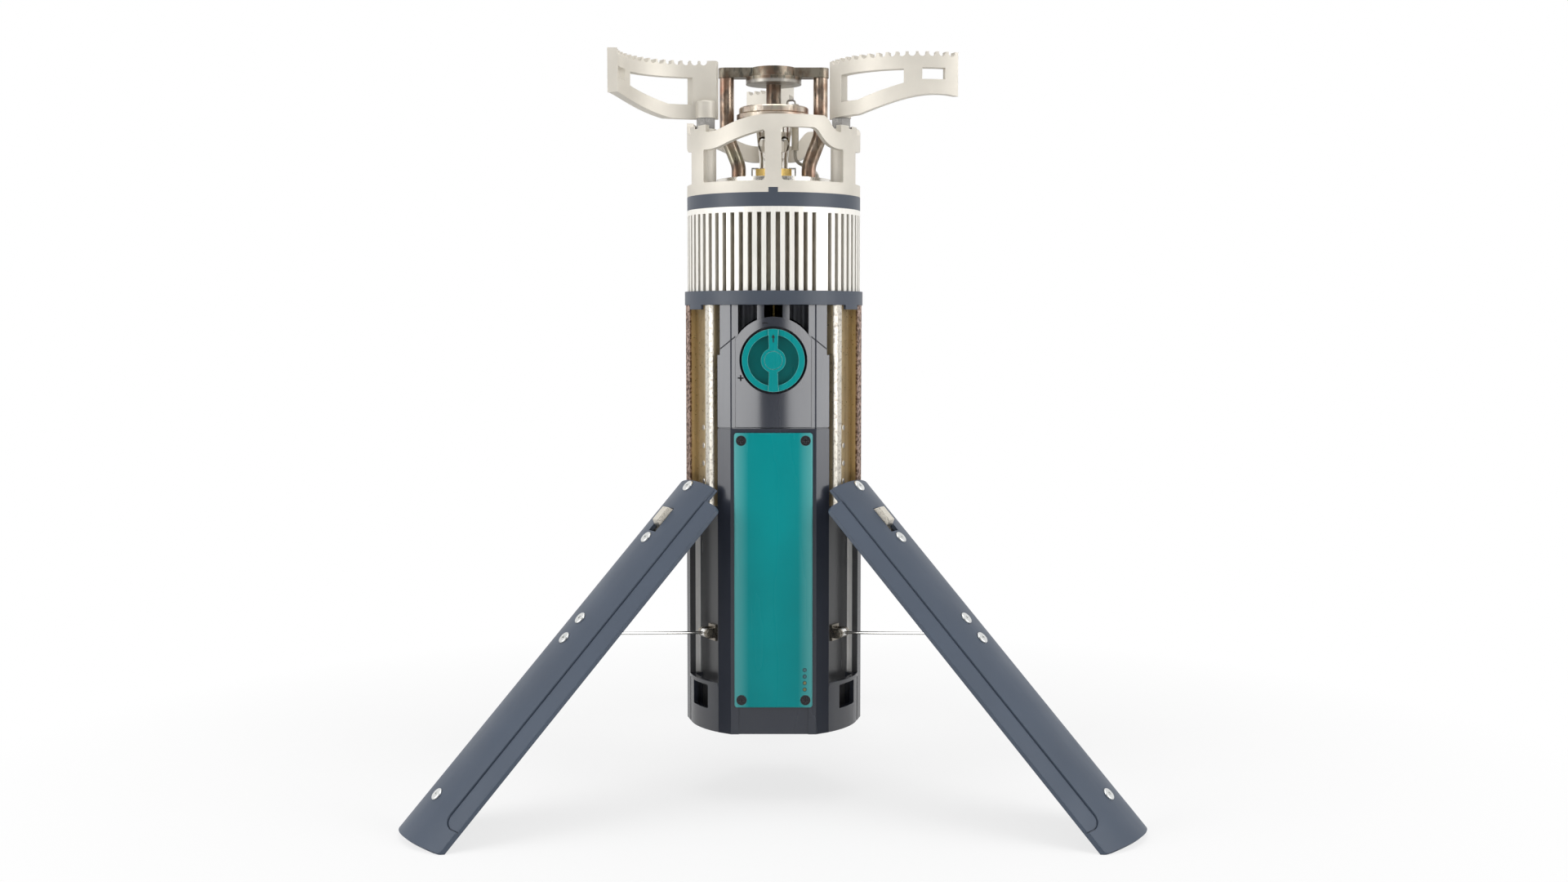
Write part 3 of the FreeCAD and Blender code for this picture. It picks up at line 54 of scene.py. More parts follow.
# Camera, as in the photograph
CAMERA_PLACE = (0.00577, -0.9677, 0.2662)
CAMERA_PITCH = 86.0
CAMERA_LENS = 39.28
SENSOR_WIDTH = 36.0

# Softboxes: the point that they face, and the place, width, height and radiance of each
LIT_POINT = (0.0, 0.0, 0.2)
SIDE_BOX = ((1.25, -0.72, 0.5), 0.8, 1.4, 3.7)
TOP_BOX = ((0.0, -0.1, 1.7), 1.3, 1.3, 2.0)
FRONT_BOX = ((0.0, -1.9, 1.0), 1.2, 0.8, 0.9)

# Surroundings: soft fill, and what reflections meet between the viewer's side and the far side
AMBIENT = 0.28
FRONT_GLOSS = 0.10
GLOSS_NEAR = -0.85
GLOSS_FAR = -0.1

# Floor, and the distances over which it fades to white
FLOOR_SIZE = 6.0
FLOOR_ALBEDO = 0.92
FLOOR_GLOW = 0.74
GLOW_START = 0.22
GLOW_FULL = 0.5

# Plastics; their paler edge colours are partly wear and partly painted highlight
HOUSING_PLASTIC = dict(
    colour=(0.026, 0.030, 0.043), roughness=0.24, grain=0.004 * MM,
    wear_and_highlight=(0.047, 0.054, 0.077), specular=1.0, edge=0.35 * MM,
)
LOWER_PLASTIC = {**HOUSING_PLASTIC, "colour": (0.024, 0.028, 0.041), "specular": 0.6}
COLLAR_PLASTIC = dict(
    colour=(0.051, 0.063, 0.086), roughness=0.46, grain=0.016 * MM,
    wear_and_highlight=(0.076, 0.092, 0.125), specular=0.5, edge=0.35 * MM,
)
LEG_PLASTIC = dict(
    colour=(0.046, 0.064, 0.096), roughness=0.48, grain=0.02 * MM,
    wear_and_highlight=(0.069, 0.096, 0.144), specular=0.5, edge=0.35 * MM,
)
# The teal plastics' pale edge colours are painted highlights
PANEL_PLASTIC = dict(
    colour=(0.0, 0.240, 0.251), roughness=0.26, grain=0.003 * MM,
    wear_and_highlight=(0.16, 0.44, 0.43), specular=0.15, edge=0.9 * MM,
)
KNOB_PLASTIC = dict(
    colour=(0.0, 0.243, 0.247), roughness=0.26, grain=0.003 * MM,
    wear_and_highlight=(0.34, 0.68, 0.64), specular=0.26, edge=0.5 * MM,
)

# Metals coloured by flame: bare, brown and dark
OXIDE = ((0.30, 0.27, 0.215), (0.165, 0.125, 0.09), (0.09, 0.09, 0.075))
COPPER = ((0.46, 0.38, 0.30), (0.26, 0.18, 0.13), (0.12, 0.10, 0.085))
BRONZE = ((0.76, 0.70, 0.60), (0.58, 0.49, 0.40), (0.36, 0.31, 0.27))

# Widths of the rounded edges on metal and on inner pieces
METAL_EDGE = 0.25 * MM
TINTED_EDGE = 0.3 * MM
INNER_EDGE = 0.2 * MM
LENS_EDGE = 0.15 * MM

# Crowns of the upper housing's faces and of the panel
FACE_HALF = 22.5 * MM
FACE_SLOPE = 0.6
FACE_SOFT = 8.0 * MM
PANEL_HALF = 21.35 * MM
PANEL_SLOPE = 0.4
PANEL_SOFT = 13.0 * MM
# Where the panel's painted highlight towards its long sides begins
PANEL_FADE = 13.5 * MM

# Leg bays of the lower housing, with the painted highlight strip along their corners
BAY_HALF = 16.85 * MM
BAY_STRIP = 1.4 * MM
BAY_FLOOR = 38.5 * MM
BAY_HIGHLIGHT_RISE = 2.8 * MM

# Knob, bezel and vents
KNOB_HEIGHT = 245.2 * MM
KNOB_DISH_OUT = 41.8 * MM
KNOB_DISH_DEPTH = 1.4 * MM
BEZEL_RADIUS = 23.5 * MM
BEZEL_OUT = 41.9 * MM
VENT_INNER = 9.0 * MM
VENT_OUTER = 18.8 * MM
VENT_TOP = 275.1 * MM
LINER_OUT = 29.5 * MM
LINER_WALL = 1.0 * MM
LINER_RIB = 3.0 * MM
LINER_STEPS = 16

# Marks: places across and up, then outlines
PLUS_PLACE = (-17.7 * MM, 235.6 * MM)
MINUS_PLACE = (-4.4 * MM, 265.3 * MM)
ARROW_PLACE = (0.0, 257.1 * MM)
PLUS_REACH = 1.6 * MM
PLUS_HALF = 0.4 * MM
MINUS_REACH = 1.45 * MM
MINUS_HALF = 0.35 * MM
ARROW_REACH = 2.2 * MM
ARROW_NECK = 0.3 * MM
ARROW_STEM = 0.3 * MM
ARROW_HEAD = 1.0 * MM
MARK_THICK = 0.06 * MM
MARK_TAPER = 0.97

# Charge lights: their tint changes at the split, and a rim lies round each
LED_COUNT = 4
LED_RADIUS = 0.8 * MM
LED_SPLIT = 70.0 * MM
LED_BLUR = 1.5 * MM
RIM_OUTER = 1.45 * LED_RADIUS
RIM_INNER = 1.1 * LED_RADIUS
RIM_BEVEL = 0.05
RIM_SIDES = 24

# Heat sink, from the painted shade deep in its gaps to its unshaded tips
FIN_SHADED = 46.2 * MM
FIN_UNSHADED = 48.0 * MM

# Leg rails and the rivet heads on their webs
WEB_OUT = 42.8 * MM
# A painted highlight runs along each rail's crease
CREASE_ACROSS = 11.0 * MM
CREASE_CORE = 0.25 * MM
CREASE_FADE = 0.9 * MM
# Rail lips: front ones painted pale as a painted reflection, rear ones painted darker as painted shade
LIP_INNER = 47.3 * MM
LIP_OUTER = 47.9 * MM
LIP_SPLIT = -28.0 * MM
LIP_BLUR = 2.0 * MM
PIP_ACROSS = 3.9 * MM
PIP_RADIUS = 1.6 * MM
PIP_RISE = 0.2 * MM
PIP_TOP = 207.3 * MM
PIP_PITCH = 9.95 * MM
PIP_COUNT = 4
PIP_STEPS = 4
PIP_SIDES = 20

# Burner ports and the heat collector over them
PORT_COUNT = 24
PORT_RING = 15.5 * MM
PORT_FOOT = 1.35 * MM
PORT_RIM = 1.1 * MM
PORT_MOUTH = 0.9 * MM
PORT_THROAT = 0.8 * MM
PORT_RISE = 0.25 * MM
PORT_FLOOR = 0.02 * MM
PORT_SIDES = 12
COLLECTOR_BAR = 5.4 * MM
COLLECTOR_DISC = 3.6 * MM
# A paler band round the foot of the collector's disc
PALE_BAND_RISE = 1.2 * MM
PALE_BAND_FADE = 1.0 * MM

# Cage windows: each has a bar on one side and a post on the other
CAGE_RADIUS = 48.5 * MM
CAGE_WALL = 3.7 * MM
CAGE_BAR_HALF = 4.4 * MM
CAGE_WINDOW_EDGE = 51.5
CAGE_FOOT = 341.4 * MM
CAGE_BAR_TOPS = {-1: 368.4 * MM, 1: 369.7 * MM}
CAGE_POST_TOP = 359.3 * MM
BAR_FILLET = 2.2 * MM
POST_FILLET = 1.2 * MM
FILLET_BITE = 0.4 * MM
FILLET_SINK = 0.08 * MM
FILLET_STEPS = 6


class Nodes:
    """A node tree, with short calls for the nodes that are used here."""

    def __init__(self, tree):
        self.tree = tree

    def feed(self, socket, value):
        if isinstance(value, bpy.types.NodeSocket):
            self.tree.links.new(value, socket)
        else:
            socket.default_value = value

    def node(self, kind, inputs=None, **settings):
        made = self.tree.nodes.new(kind)
        for name, value in settings.items():
            setattr(made, name, value)
        for socket, value in (inputs or {}).items():
            self.feed(made.inputs[socket], value)
        return made

    def spread(self, value, low, high, out_low=0.0, out_high=1.0):
        inputs = {"Value": value, "From Min": low, "From Max": high}
        inputs.update({"To Min": out_low, "To Max": out_high})
        return self.node("ShaderNodeMapRange", inputs).outputs["Result"]

    def math(self, operation, a, b=0.0):
        return self.node("ShaderNodeMath", {0: a, 1: b}, operation=operation).outputs["Value"]

    def blend(self, factor, a, b):
        """A plain number between two others."""
        return self.node("ShaderNodeMix", {"Factor": factor, "A": a, "B": b}).outputs["Result"]

    def mix(self, factor, a, b):
        """A colour between two others."""
        # The colour sockets are found by number, as their names are shared with other types
        made = self.node("ShaderNodeMix", data_type="RGBA")
        for index, value in ((0, factor), (6, a), (7, b)):
            self.feed(made.inputs[index], value)
        return made.outputs[2]


class Look(Nodes):
    """A material, with calls for patterns, for places on the part and for normals."""

    def __init__(self, name, **settings):
        self.material = bpy.data.materials.new(name)
        self.material.use_nodes = True
        super().__init__(self.material.node_tree)
        self.shader = self.tree.nodes["Principled BSDF"]
        self.place = self.node("ShaderNodeTexCoord").outputs["Object"]
        for socket, value in settings.items():
            self.shader.inputs[socket.replace("_", " ")].default_value = value

    def set(self, socket, value):
        self.feed(self.shader.inputs[socket], value)

    def vector_math(self, operation, a, b=(0.0, 0.0, 0.0)):
        return self.node("ShaderNodeVectorMath", {0: a, 1: b}, operation=operation).outputs["Value"]

    def stretched(self, x, y, z):
        inputs = {"Vector": self.place, "Scale": (x, y, z)}
        return self.node("ShaderNodeMapping", inputs).outputs["Vector"]

    def noise(self, scale, detail=2.0, place=None):
        inputs = {"Vector": place or self.place, "Scale": scale, "Detail": detail}
        return self.node("ShaderNodeTexNoise", inputs).outputs["Fac"]

    def radius(self):
        """Distance from the upright axis."""
        return self.vector_math("LENGTH", self.stretched(1.0, 1.0, 0.0))

    def along(self, x, y, z):
        """Distance along a direction."""
        return self.vector_math("DOT_PRODUCT", self.place, (x, y, z))

    def across(self, azimuth):
        """Distance to either side of the upright plane at an azimuth."""
        turn = math.radians(azimuth)
        return self.math("ABSOLUTE", self.along(math.cos(turn), math.sin(turn), 0.0))

    def out(self, azimuth):
        """Distance from the upright axis towards an azimuth."""
        turn = math.radians(azimuth)
        return self.along(math.sin(turn), -math.cos(turn), 0.0)

    def rounded(self, radius):
        return self.node("ShaderNodeBevel", {"Radius": radius}, samples=4).outputs["Normal"]

    def edges(self, radius):
        """1 along the outer edges and 0 on the faces."""
        true = self.node("ShaderNodeNewGeometry").outputs["Normal"]
        likeness = self.vector_math("DOT_PRODUCT", self.rounded(radius), true)
        return self.spread(self.math("SUBTRACT", 1.0, likeness), 0.02, 0.25)

    def bumped(self, height, depth, normal):
        inputs = {"Height": height, "Strength": 1.0, "Distance": depth, "Normal": normal}
        return self.node("ShaderNodeBump", inputs).outputs["Normal"]

    def bump(self, height, depth, radius):
        self.set("Normal", self.bumped(height, depth, self.rounded(radius)))

    def crowned(self, azimuths, half, slope, soft):
        """Height over faces that bow out towards their upright middle lines."""
        height = 0.0
        for azimuth in azimuths:
            behind = self.math("LESS_THAN", self.out(azimuth), 0.0)
            near = self.math("MINIMUM", self.math("ADD", self.across(azimuth), behind), half)
            squares = self.math("ADD", self.math("MULTIPLY", near, near), soft * soft)
            fall = self.math("MULTIPLY", self.math("SQRT", squares), slope)
            height = self.math("SUBTRACT", height, fall)
        return height


def shade(colour, factor=1.0):
    """A colour for a socket, made darker or paler."""
    return tuple(min(1.0, c * factor) for c in colour) + (1.0,)


def plastic_look(name, colour, roughness, grain, wear_and_highlight, specular, edge):
    """Moulded plastic: faint flow clouds, a fine grain and paler edges, partly wear and partly painted
    highlight. Gives its colour and normal too.
    """
    look = Look(name, Specular_IOR_Level=specular)
    clouds = look.noise(22.0, detail=4.0)
    flow = look.noise(60.0, detail=3.0, place=look.stretched(1.0, 1.0, 0.12))
    body = look.mix(look.spread(clouds, 0.3, 0.7), shade(colour, 0.93), shade(colour, 1.07))
    # Edges painted paler: partly wear, partly a painted highlight
    body = look.mix(look.math("MULTIPLY", look.edges(edge), 0.7), body, shade(wear_and_highlight))
    look.set("Base Color", body)
    look.set("Roughness", look.spread(flow, 0.25, 0.75, roughness - 0.05, roughness + 0.06))
    normal = look.bumped(look.noise(2400.0), grain, look.rounded(edge))
    look.set("Normal", normal)
    return look, body, normal


def moulded_plastic(name, settings):
    return plastic_look(name, **settings)[0].material


def lower_plastic():
    """The lower housing's plastic: painted paler in the leg bays as painted light, with a streaked painted
    highlight strip along their corners.
    """
    look, body, _ = plastic_look("housing_plastic", **LOWER_PLASTIC)
    painted_light_grey = (0.095, 0.096, 0.10)
    painted_highlight_white = (0.95, 0.94, 0.91)
    highlight_streaks = look.noise(300.0, detail=3.0, place=look.stretched(1.0, 1.0, 0.05))
    wear_and_highlight = look.spread(highlight_streaks, 0.3, 0.6, 0.85, 1.0)
    highlight_top = BAY_FLOOR + BAY_HIGHLIGHT_RISE
    strip_edge = BAY_HALF - BAY_STRIP
    for azimuth in LEG_AZIMUTHS.values():
        across = look.across(azimuth)
        out = look.out(azimuth)
        between = look.spread(across, BAY_HALF + HAIR, BAY_HALF + 2 * HAIR, 1.0, 0.0)
        bay = look.math("MULTIPLY", between, look.math("GREATER_THAN", out, BAY_FLOOR - HAIR))
        # The bays are painted a paler grey: painted light
        body = look.mix(bay, body, shade(painted_light_grey))
        deep = look.spread(out, highlight_top, highlight_top + 3 * HAIR, 1.0, 0.0)
        corner = look.spread(across, strip_edge, strip_edge + 2 * HAIR)
        strip = look.math("MULTIPLY", look.math("MULTIPLY", bay, deep), corner)
        # A pale strip at each bay's corner: a painted highlight, streaked
        body = look.mix(look.math("MULTIPLY", strip, wear_and_highlight), body, shade(painted_highlight_white))
    look.set("Base Color", body)
    return look.material


def upper_plastic():
    """The upper housing's plastic, on slightly crowned faces that shade towards their middles."""
    look, _, normal = plastic_look("housing_crowned", **HOUSING_PLASTIC)
    height = look.crowned(LOBE_AZIMUTHS, FACE_HALF, FACE_SLOPE, FACE_SOFT)
    look.set("Normal", look.bumped(height, 1.0, normal))
    return look.material


def panel_plastic():
    """Teal plastic on a slightly crowned face, with a painted highlight making it paler towards its long
    sides.
    """
    look, body, normal = plastic_look("teal_plastic", **PANEL_PLASTIC)
    highlight_teal = (0.12, 0.41, 0.41)
    # Paler towards the long sides: a painted highlight
    side_highlight = look.spread(look.across(0.0), PANEL_FADE, PANEL_HALF, 0.0, 0.8)
    look.set("Base Color", look.mix(side_highlight, body, shade(highlight_teal)))
    height = look.crowned((0.0,), PANEL_HALF, PANEL_SLOPE, PANEL_SOFT)
    look.set("Normal", look.bumped(height, 1.0, normal))
    return look.material


def knob_plastic():
    """Teal plastic with pale edges as a painted highlight, and painted shade down in the knob's dish."""
    look, body, _ = plastic_look("knob_plastic", **KNOB_PLASTIC)
    shaded_dish_teal = (0.0, 0.128, 0.126)
    front = look.along(0.0, -1.0, 0.0)
    raised = look.spread(front, KNOB_DISH_OUT + 2 * HAIR, KNOB_DISH_OUT + KNOB_DISH_DEPTH)
    # The dish is painted darker: painted shade in the recess
    look.set("Base Color", look.mix(raised, shade(shaded_dish_teal), body))
    return look.material


def worked_metal(
    name, colour, roughness, scale=900.0, depth=0.01 * MM, stain=0.85, metallic=1.0, glint=1.2
):
    """Bare metal: fine working marks, stains that vary its tint, and edges painted paler as a painted
    glint.
    """
    look = Look(name, Metallic=metallic)
    marks = look.noise(scale, detail=3.0)
    stains = look.noise(38.0, detail=5.0)
    body = look.mix(look.spread(stains, 0.32, 0.68), shade(colour, stain), shade(colour, 1.05))
    # Edges painted paler: a painted glint
    body = look.mix(look.math("MULTIPLY", look.edges(METAL_EDGE), 0.6), body, shade(colour, glint))
    look.set("Base Color", body)
    look.set("Roughness", look.spread(marks, 0.25, 0.75, roughness - 0.07, roughness + 0.08))
    look.bump(marks, depth, METAL_EDGE)
    return look.material


def bright_steel(name, colour, roughness):
    return worked_metal(name, colour, roughness, scale=1500.0, depth=0.004 * MM, stain=0.92)


def cast_steel():
    colour = (0.70, 0.66, 0.585)
    return worked_metal("cast_steel", colour, 0.54, scale=2200.0, depth=0.02 * MM, stain=0.9, metallic=0.35)


def fin_aluminium():
    """Pale satin fins with fine upright marks, and painted shade, dull and brown, down in the gaps."""
    look = Look("fin_aluminium", Metallic=0.3)
    marks = look.noise(1400.0, detail=3.0, place=look.stretched(1.0, 1.0, 0.04))
    pale = look.mix(look.spread(marks, 0.3, 0.7), shade((0.86, 0.835, 0.775)), shade((0.93, 0.91, 0.855)))
    blotch = look.spread(look.noise(160.0, detail=4.0), 0.35, 0.65)
    gap_shade = look.mix(blotch, shade((0.46, 0.42, 0.34)), shade((0.60, 0.55, 0.46)))
    # Darker and browner towards the fin roots: painted shade in the gaps
    look.set("Base Color", look.mix(look.spread(look.radius(), FIN_SHADED, FIN_UNSHADED), gap_shade, pale))
    look.set("Roughness", look.spread(marks, 0.25, 0.75, 0.38, 0.5))
    look.bump(marks, 0.006 * MM, METAL_EDGE)
    return look.material


def tinted_look(name, colours, roughness):
    """Metal coloured by flame: streaks of oxide with a red and a green cast. Gives its colour too."""
    look = Look(name, Metallic=1.0)
    bare, brown, dark = colours
    red_cast = (brown[0] * 1.25, brown[1] * 0.8, brown[2] * 0.75)
    green_cast = (bare[0] * 0.72, bare[1] * 0.95, bare[2] * 0.85)
    blotch = look.noise(120.0, detail=6.0)
    fleck = look.noise(420.0, detail=4.0, place=look.stretched(1.0, 1.0, 0.35))
    cast = look.noise(46.0, detail=3.0)
    body = look.mix(look.spread(blotch, 0.38, 0.6), shade(bare), shade(brown))
    body = look.mix(look.spread(cast, 0.52, 0.66, 0.0, 0.55), body, shade(red_cast))
    body = look.mix(look.spread(cast, 0.36, 0.46, 0.45, 0.0), body, shade(green_cast))
    body = look.mix(look.spread(fleck, 0.5, 0.66, 0.0, 0.85), body, shade(dark))
    body = look.mix(look.math("MULTIPLY", look.edges(TINTED_EDGE), 0.5), body, shade(bare, 1.4))
    look.set("Base Color", body)
    look.set("Roughness", look.spread(blotch, 0.3, 0.7, roughness - 0.08, roughness + 0.12))
    look.bump(fleck, 0.05 * MM, TINTED_EDGE)
    return look, body


def heat_tinted(name, colours, roughness):
    return tinted_look(name, colours, roughness)[0].material


def collector_oxide():
    """Flame-tinted metal, paler round the foot of the disc under the bar."""
    look, body = tinted_look("collector_oxide", OXIDE, 0.4)
    disc_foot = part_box("heat_collector")[1][2] - COLLECTOR_BAR - COLLECTOR_DISC
    height = look.along(0.0, 0.0, 1.0)
    pale_band_top = disc_foot + PALE_BAND_RISE
    below = look.spread(height, pale_band_top, pale_band_top + PALE_BAND_FADE, 0.85, 0.0)
    above = look.math("GREATER_THAN", height, disc_foot - HAIR)
    pale_band = look.mix(look.noise(260.0, detail=4.0), shade((0.32, 0.30, 0.27)), shade((0.60, 0.58, 0.54)))
    look.set("Base Color", look.mix(look.math("MULTIPLY", below, above), body, pale_band))
    return look.material


def rail_steel():
    """Gold passivated steel, drawn lengthwise: a painted highlight along the crease, front lips painted
    pale as a painted reflection, rear ones a brown mottle darkened as painted shade.
    """
    look = Look("rail_steel", Metallic=0.8)
    streaks = look.noise(500.0, detail=3.0, place=look.stretched(1.0, 1.0, 0.012))
    mottle = look.noise(620.0, detail=4.0)
    gold = look.mix(look.spread(streaks, 0.3, 0.7), shade((0.65, 0.51, 0.29)), shade((0.83, 0.68, 0.43)))
    for azimuth in LEG_AZIMUTHS.values():
        off = look.math("ABSOLUTE", look.math("SUBTRACT", look.across(azimuth), CREASE_ACROSS))
        # A bright line along the bend: a painted highlight
        crease_highlight = look.spread(off, CREASE_CORE, CREASE_FADE, 0.7, 0.0)
        gold = look.mix(crease_highlight, gold, shade((0.85, 0.70, 0.44)))
    # Front lips painted pale, a painted reflection; rear lips a brown mottle painted darker, painted shade
    pale = look.mix(look.spread(mottle, 0.5, 0.64), shade((0.74, 0.70, 0.62)), shade((0.48, 0.44, 0.38)))
    mottle_and_shade = look.mix(look.spread(mottle, 0.42, 0.58), shade((0.46, 0.33, 0.27)), shade((0.12, 0.075, 0.055)))
    rear = look.spread(look.along(0.0, 1.0, 0.0), LIP_SPLIT, LIP_SPLIT + LIP_BLUR)
    outer = look.spread(look.radius(), LIP_INNER, LIP_OUTER)
    look.set("Base Color", look.mix(outer, gold, look.mix(rear, pale, mottle_and_shade)))
    look.set("Roughness", look.spread(mottle, 0.3, 0.7, 0.26, 0.44))
    look.bump(streaks, 0.006 * MM, TINTED_EDGE)
    return look.material


def light_pipes():
    """Lens tips of the charge lights: grey-blue for the upper two, gold for the lower two."""
    look = Look("light_pipe", Roughness=0.15)
    cloud = look.noise(400.0, detail=3.0)
    upper = look.mix(cloud, shade((0.030, 0.105, 0.120)), shade((0.060, 0.150, 0.165)))
    lower = look.mix(cloud, shade((0.130, 0.125, 0.045)), shade((0.210, 0.200, 0.085)))
    high = look.spread(look.along(0.0, 0.0, 1.0), LED_SPLIT, LED_SPLIT + LED_BLUR)
    look.set("Base Color", look.mix(high, lower, upper))
    look.bump(look.noise(900.0), 0.004 * MM, LENS_EDGE)
    return look.material


def flat_look(name, colour, roughness, metallic=0.0):
    """A quiet finish for inner pieces and marks: small changes of colour and gloss."""
    look = Look(name, Metallic=metallic)
    cloud = look.noise(140.0, detail=4.0)
    look.set("Base Color", look.mix(look.spread(cloud, 0.3, 0.7), shade(colour, 0.85), shade(colour, 1.12)))
    look.set("Roughness", look.spread(cloud, 0.3, 0.7, roughness - 0.06, roughness + 0.06))
    look.bump(look.noise(1800.0), 0.008 * MM, INNER_EDGE)
    return look.material


def dress(material, *names):
    """Gives a finish to named nodes of the frame."""
    for name in names:
        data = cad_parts[name].data
        data.materials.clear()
        data.materials.append(material)


def each_side(stem):
    """The node of each leg or arm."""
    return [stem + side for side in SIDES]


def dress_casing():
    dress(lower_plastic(), "lower_housing")
    dress(moulded_plastic("cup_plastic", HOUSING_PLASTIC), "base_cups")
    dress(upper_plastic(), "upper_housing")
    dress(moulded_plastic("collar_plastic", COLLAR_PLASTIC), "lower_collar", "upper_collar")
    dress(fin_aluminium(), "heat_sink")
    dress(panel_plastic(), "front_panel")
    dress(knob_plastic(), "control_knob", "knob_cap")
    # The screws' edges are painted much paler: a strong painted glint
    dress(worked_metal("black_steel", (0.03, 0.03, 0.033), 0.3, metallic=0.6, glint=8.0), "panel_screws")
    dress(light_pipes(), "charge_leds")


def dress_burner():
    dress(cast_steel(), "burner_cage", *each_side("pot_arm_"))
    pivot = worked_metal("pivot_steel", (0.13, 0.126, 0.12), 0.3, glint=2.0)
    dress(pivot, "arm_pivot_rods", "arm_washers")
    dress(bright_steel("deck_steel", (0.78, 0.75, 0.69), 0.28), "burner_deck")
    dress(heat_tinted("heat_pipe_copper", COPPER, 0.34), "heat_pipe_left", "heat_pipe_right")
    dress(collector_oxide(), "heat_collector")
    dress(heat_tinted("burner_steel", BRONZE, 0.32), "burner_cap", "burner_bowl")
    dress(bright_steel("tube_steel", (0.74, 0.70, 0.64), 0.16), "mixing_tube")
    dress(flat_look("ceramic", (0.80, 0.74, 0.60), 0.25), "igniter_insulator")
    dress(bright_steel("spark_wire", (0.5, 0.47, 0.43), 0.35), "igniter_electrode")
    dress(flat_look("lead_sleeve", (0.55, 0.52, 0.46), 0.8), "igniter_lead")


def dress_legs():
    dress(moulded_plastic("leg_plastic", LEG_PLASTIC), *each_side("leg_shell_"))
    dress(rail_steel(), "leg_rails")
    dress(worked_metal("bracket_nickel", (0.34, 0.31, 0.26), 0.28, glint=2.0), "strut_brackets")
    dress(worked_metal("zinc_steel", (0.60, 0.59, 0.56), 0.38), *each_side("leg_spine_"))
    dress(bright_steel("rivet_steel", (0.70, 0.71, 0.70), 0.32), *each_side("leg_rivets_"))
    dress(bright_steel("latch_nickel", (0.70, 0.66, 0.58), 0.3), *each_side("latch_button_"))
    dress(flat_look("carriage_plastic", (0.012, 0.012, 0.014), 0.45), *each_side("carriage_"))


def dress_insides():
    plated = bright_steel("plated_steel", (0.80, 0.79, 0.76), 0.16)
    dress(plated, "usb_socket", "jet_clip", *each_side("strut_"))
    brass = worked_metal("brass", (0.78, 0.56, 0.20), 0.22, scale=1500.0)
    dress(brass, "jet_nut", "cartridge_connector", "valve_body", "gas_pipe")
    dress(bright_steel("spindle_steel", (0.6, 0.6, 0.6), 0.3), "valve_spindle")
    dress(flat_look("battery_wrap", (0.11, 0.115, 0.13), 0.4), "battery_pack")
    dress(flat_look("circuit_board", (0.01, 0.06, 0.025), 0.4), "control_board")
    dress(worked_metal("block_aluminium", (0.70, 0.69, 0.66), 0.4), "hot_block")
    dress(flat_look("module_ceramic", (0.70, 0.70, 0.66), 0.6), "thermoelectric_modules")
    dress(flat_look("piezo_plastic", (0.012, 0.012, 0.014), 0.5), "piezo_unit")
    dress(flat_look("seal_rubber", (0.01, 0.01, 0.01), 0.7), "connector_seal")


def made_piece(name, body, material, build):
    """A new piece that rides a body, from a function that fills its mesh."""
    shape = bmesh.new()
    build(shape)
    bmesh.ops.recalc_face_normals(shape, faces=shape.faces)
    mesh = bpy.data.meshes.new(name)
    shape.to_mesh(mesh)
    shape.free()
    mesh.materials.append(material)
    piece = bpy.data.objects.new(name, mesh)
    scene.collection.objects.link(piece)
    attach(piece, body)


def bridge(shape, low, high):
    """Faces between two closed rows of points."""
    for i, corner in enumerate(low):
        following = (i + 1) % len(low)
        shape.faces.new((corner, low[following], high[following], high[i]))


def loft(shape, rows):
    """A solid through closed rows of points, with its two ends capped."""
    shape.faces.new(rows[0])
    shape.faces.new(rows[-1])
    for low, high in zip(rows, rows[1:]):
        bridge(shape, low, high)


def circles(shape, place, profile, sides):
    """A row of points round an axis for each radius and rise of a profile."""
    turns = [math.tau * i / sides for i in range(sides)]
    rows = []
    for radius, rise in profile:
        points = [place(radius * math.cos(t), radius * math.sin(t), rise) for t in turns]
        rows.append([shape.verts.new(point) for point in points])
    return rows


def turned(shape, place, profile, sides):
    """A solid turned form, from the radius and rise of its circles."""
    loft(shape, circles(shape, place, profile, sides))


def turned_ring(shape, place, profile, sides):
    """A turned form that is closed into a ring."""
    rows = circles(shape, place, profile, sides)
    for low, high in zip(rows, rows[1:] + rows[:1]):
        bridge(shape, low, high)


def front_plate(shape, outline, place, out):
    """A thin plate with a bevelled rim on a front face, from its outline across and up."""
    x, z = place
    back = [(x + across, -out, z + up) for across, up in outline]
    top = [(x + across * MARK_TAPER, -out - MARK_THICK, z + up * MARK_TAPER) for across, up in outline]
    loft(shape, [[shape.verts.new(point) for point in row] for row in (back, top)])


def plus_outline():
    quarter = [(PLUS_HALF, PLUS_HALF), (PLUS_HALF, PLUS_REACH), (-PLUS_HALF, PLUS_REACH)]
    points = []
    for cosine, sine in ((1, 0), (0, 1), (-1, 0), (0, -1)):
        points += [(x * cosine - y * sine, x * sine + y * cosine) for x, y in quarter]
    return points


def minus_outline():
    right = [(MINUS_REACH, -MINUS_HALF), (MINUS_REACH, MINUS_HALF)]
    return [(-MINUS_REACH, -MINUS_HALF)] + right + [(-MINUS_REACH, MINUS_HALF)]


def arrow_outline():
    right = [(ARROW_STEM, -ARROW_REACH), (ARROW_STEM, ARROW_NECK), (ARROW_HEAD, ARROW_NECK)]
    left = [(-x, z) for x, z in reversed(right)]
    return [left[-1]] + right + [(0.0, ARROW_REACH)] + left[:-1]


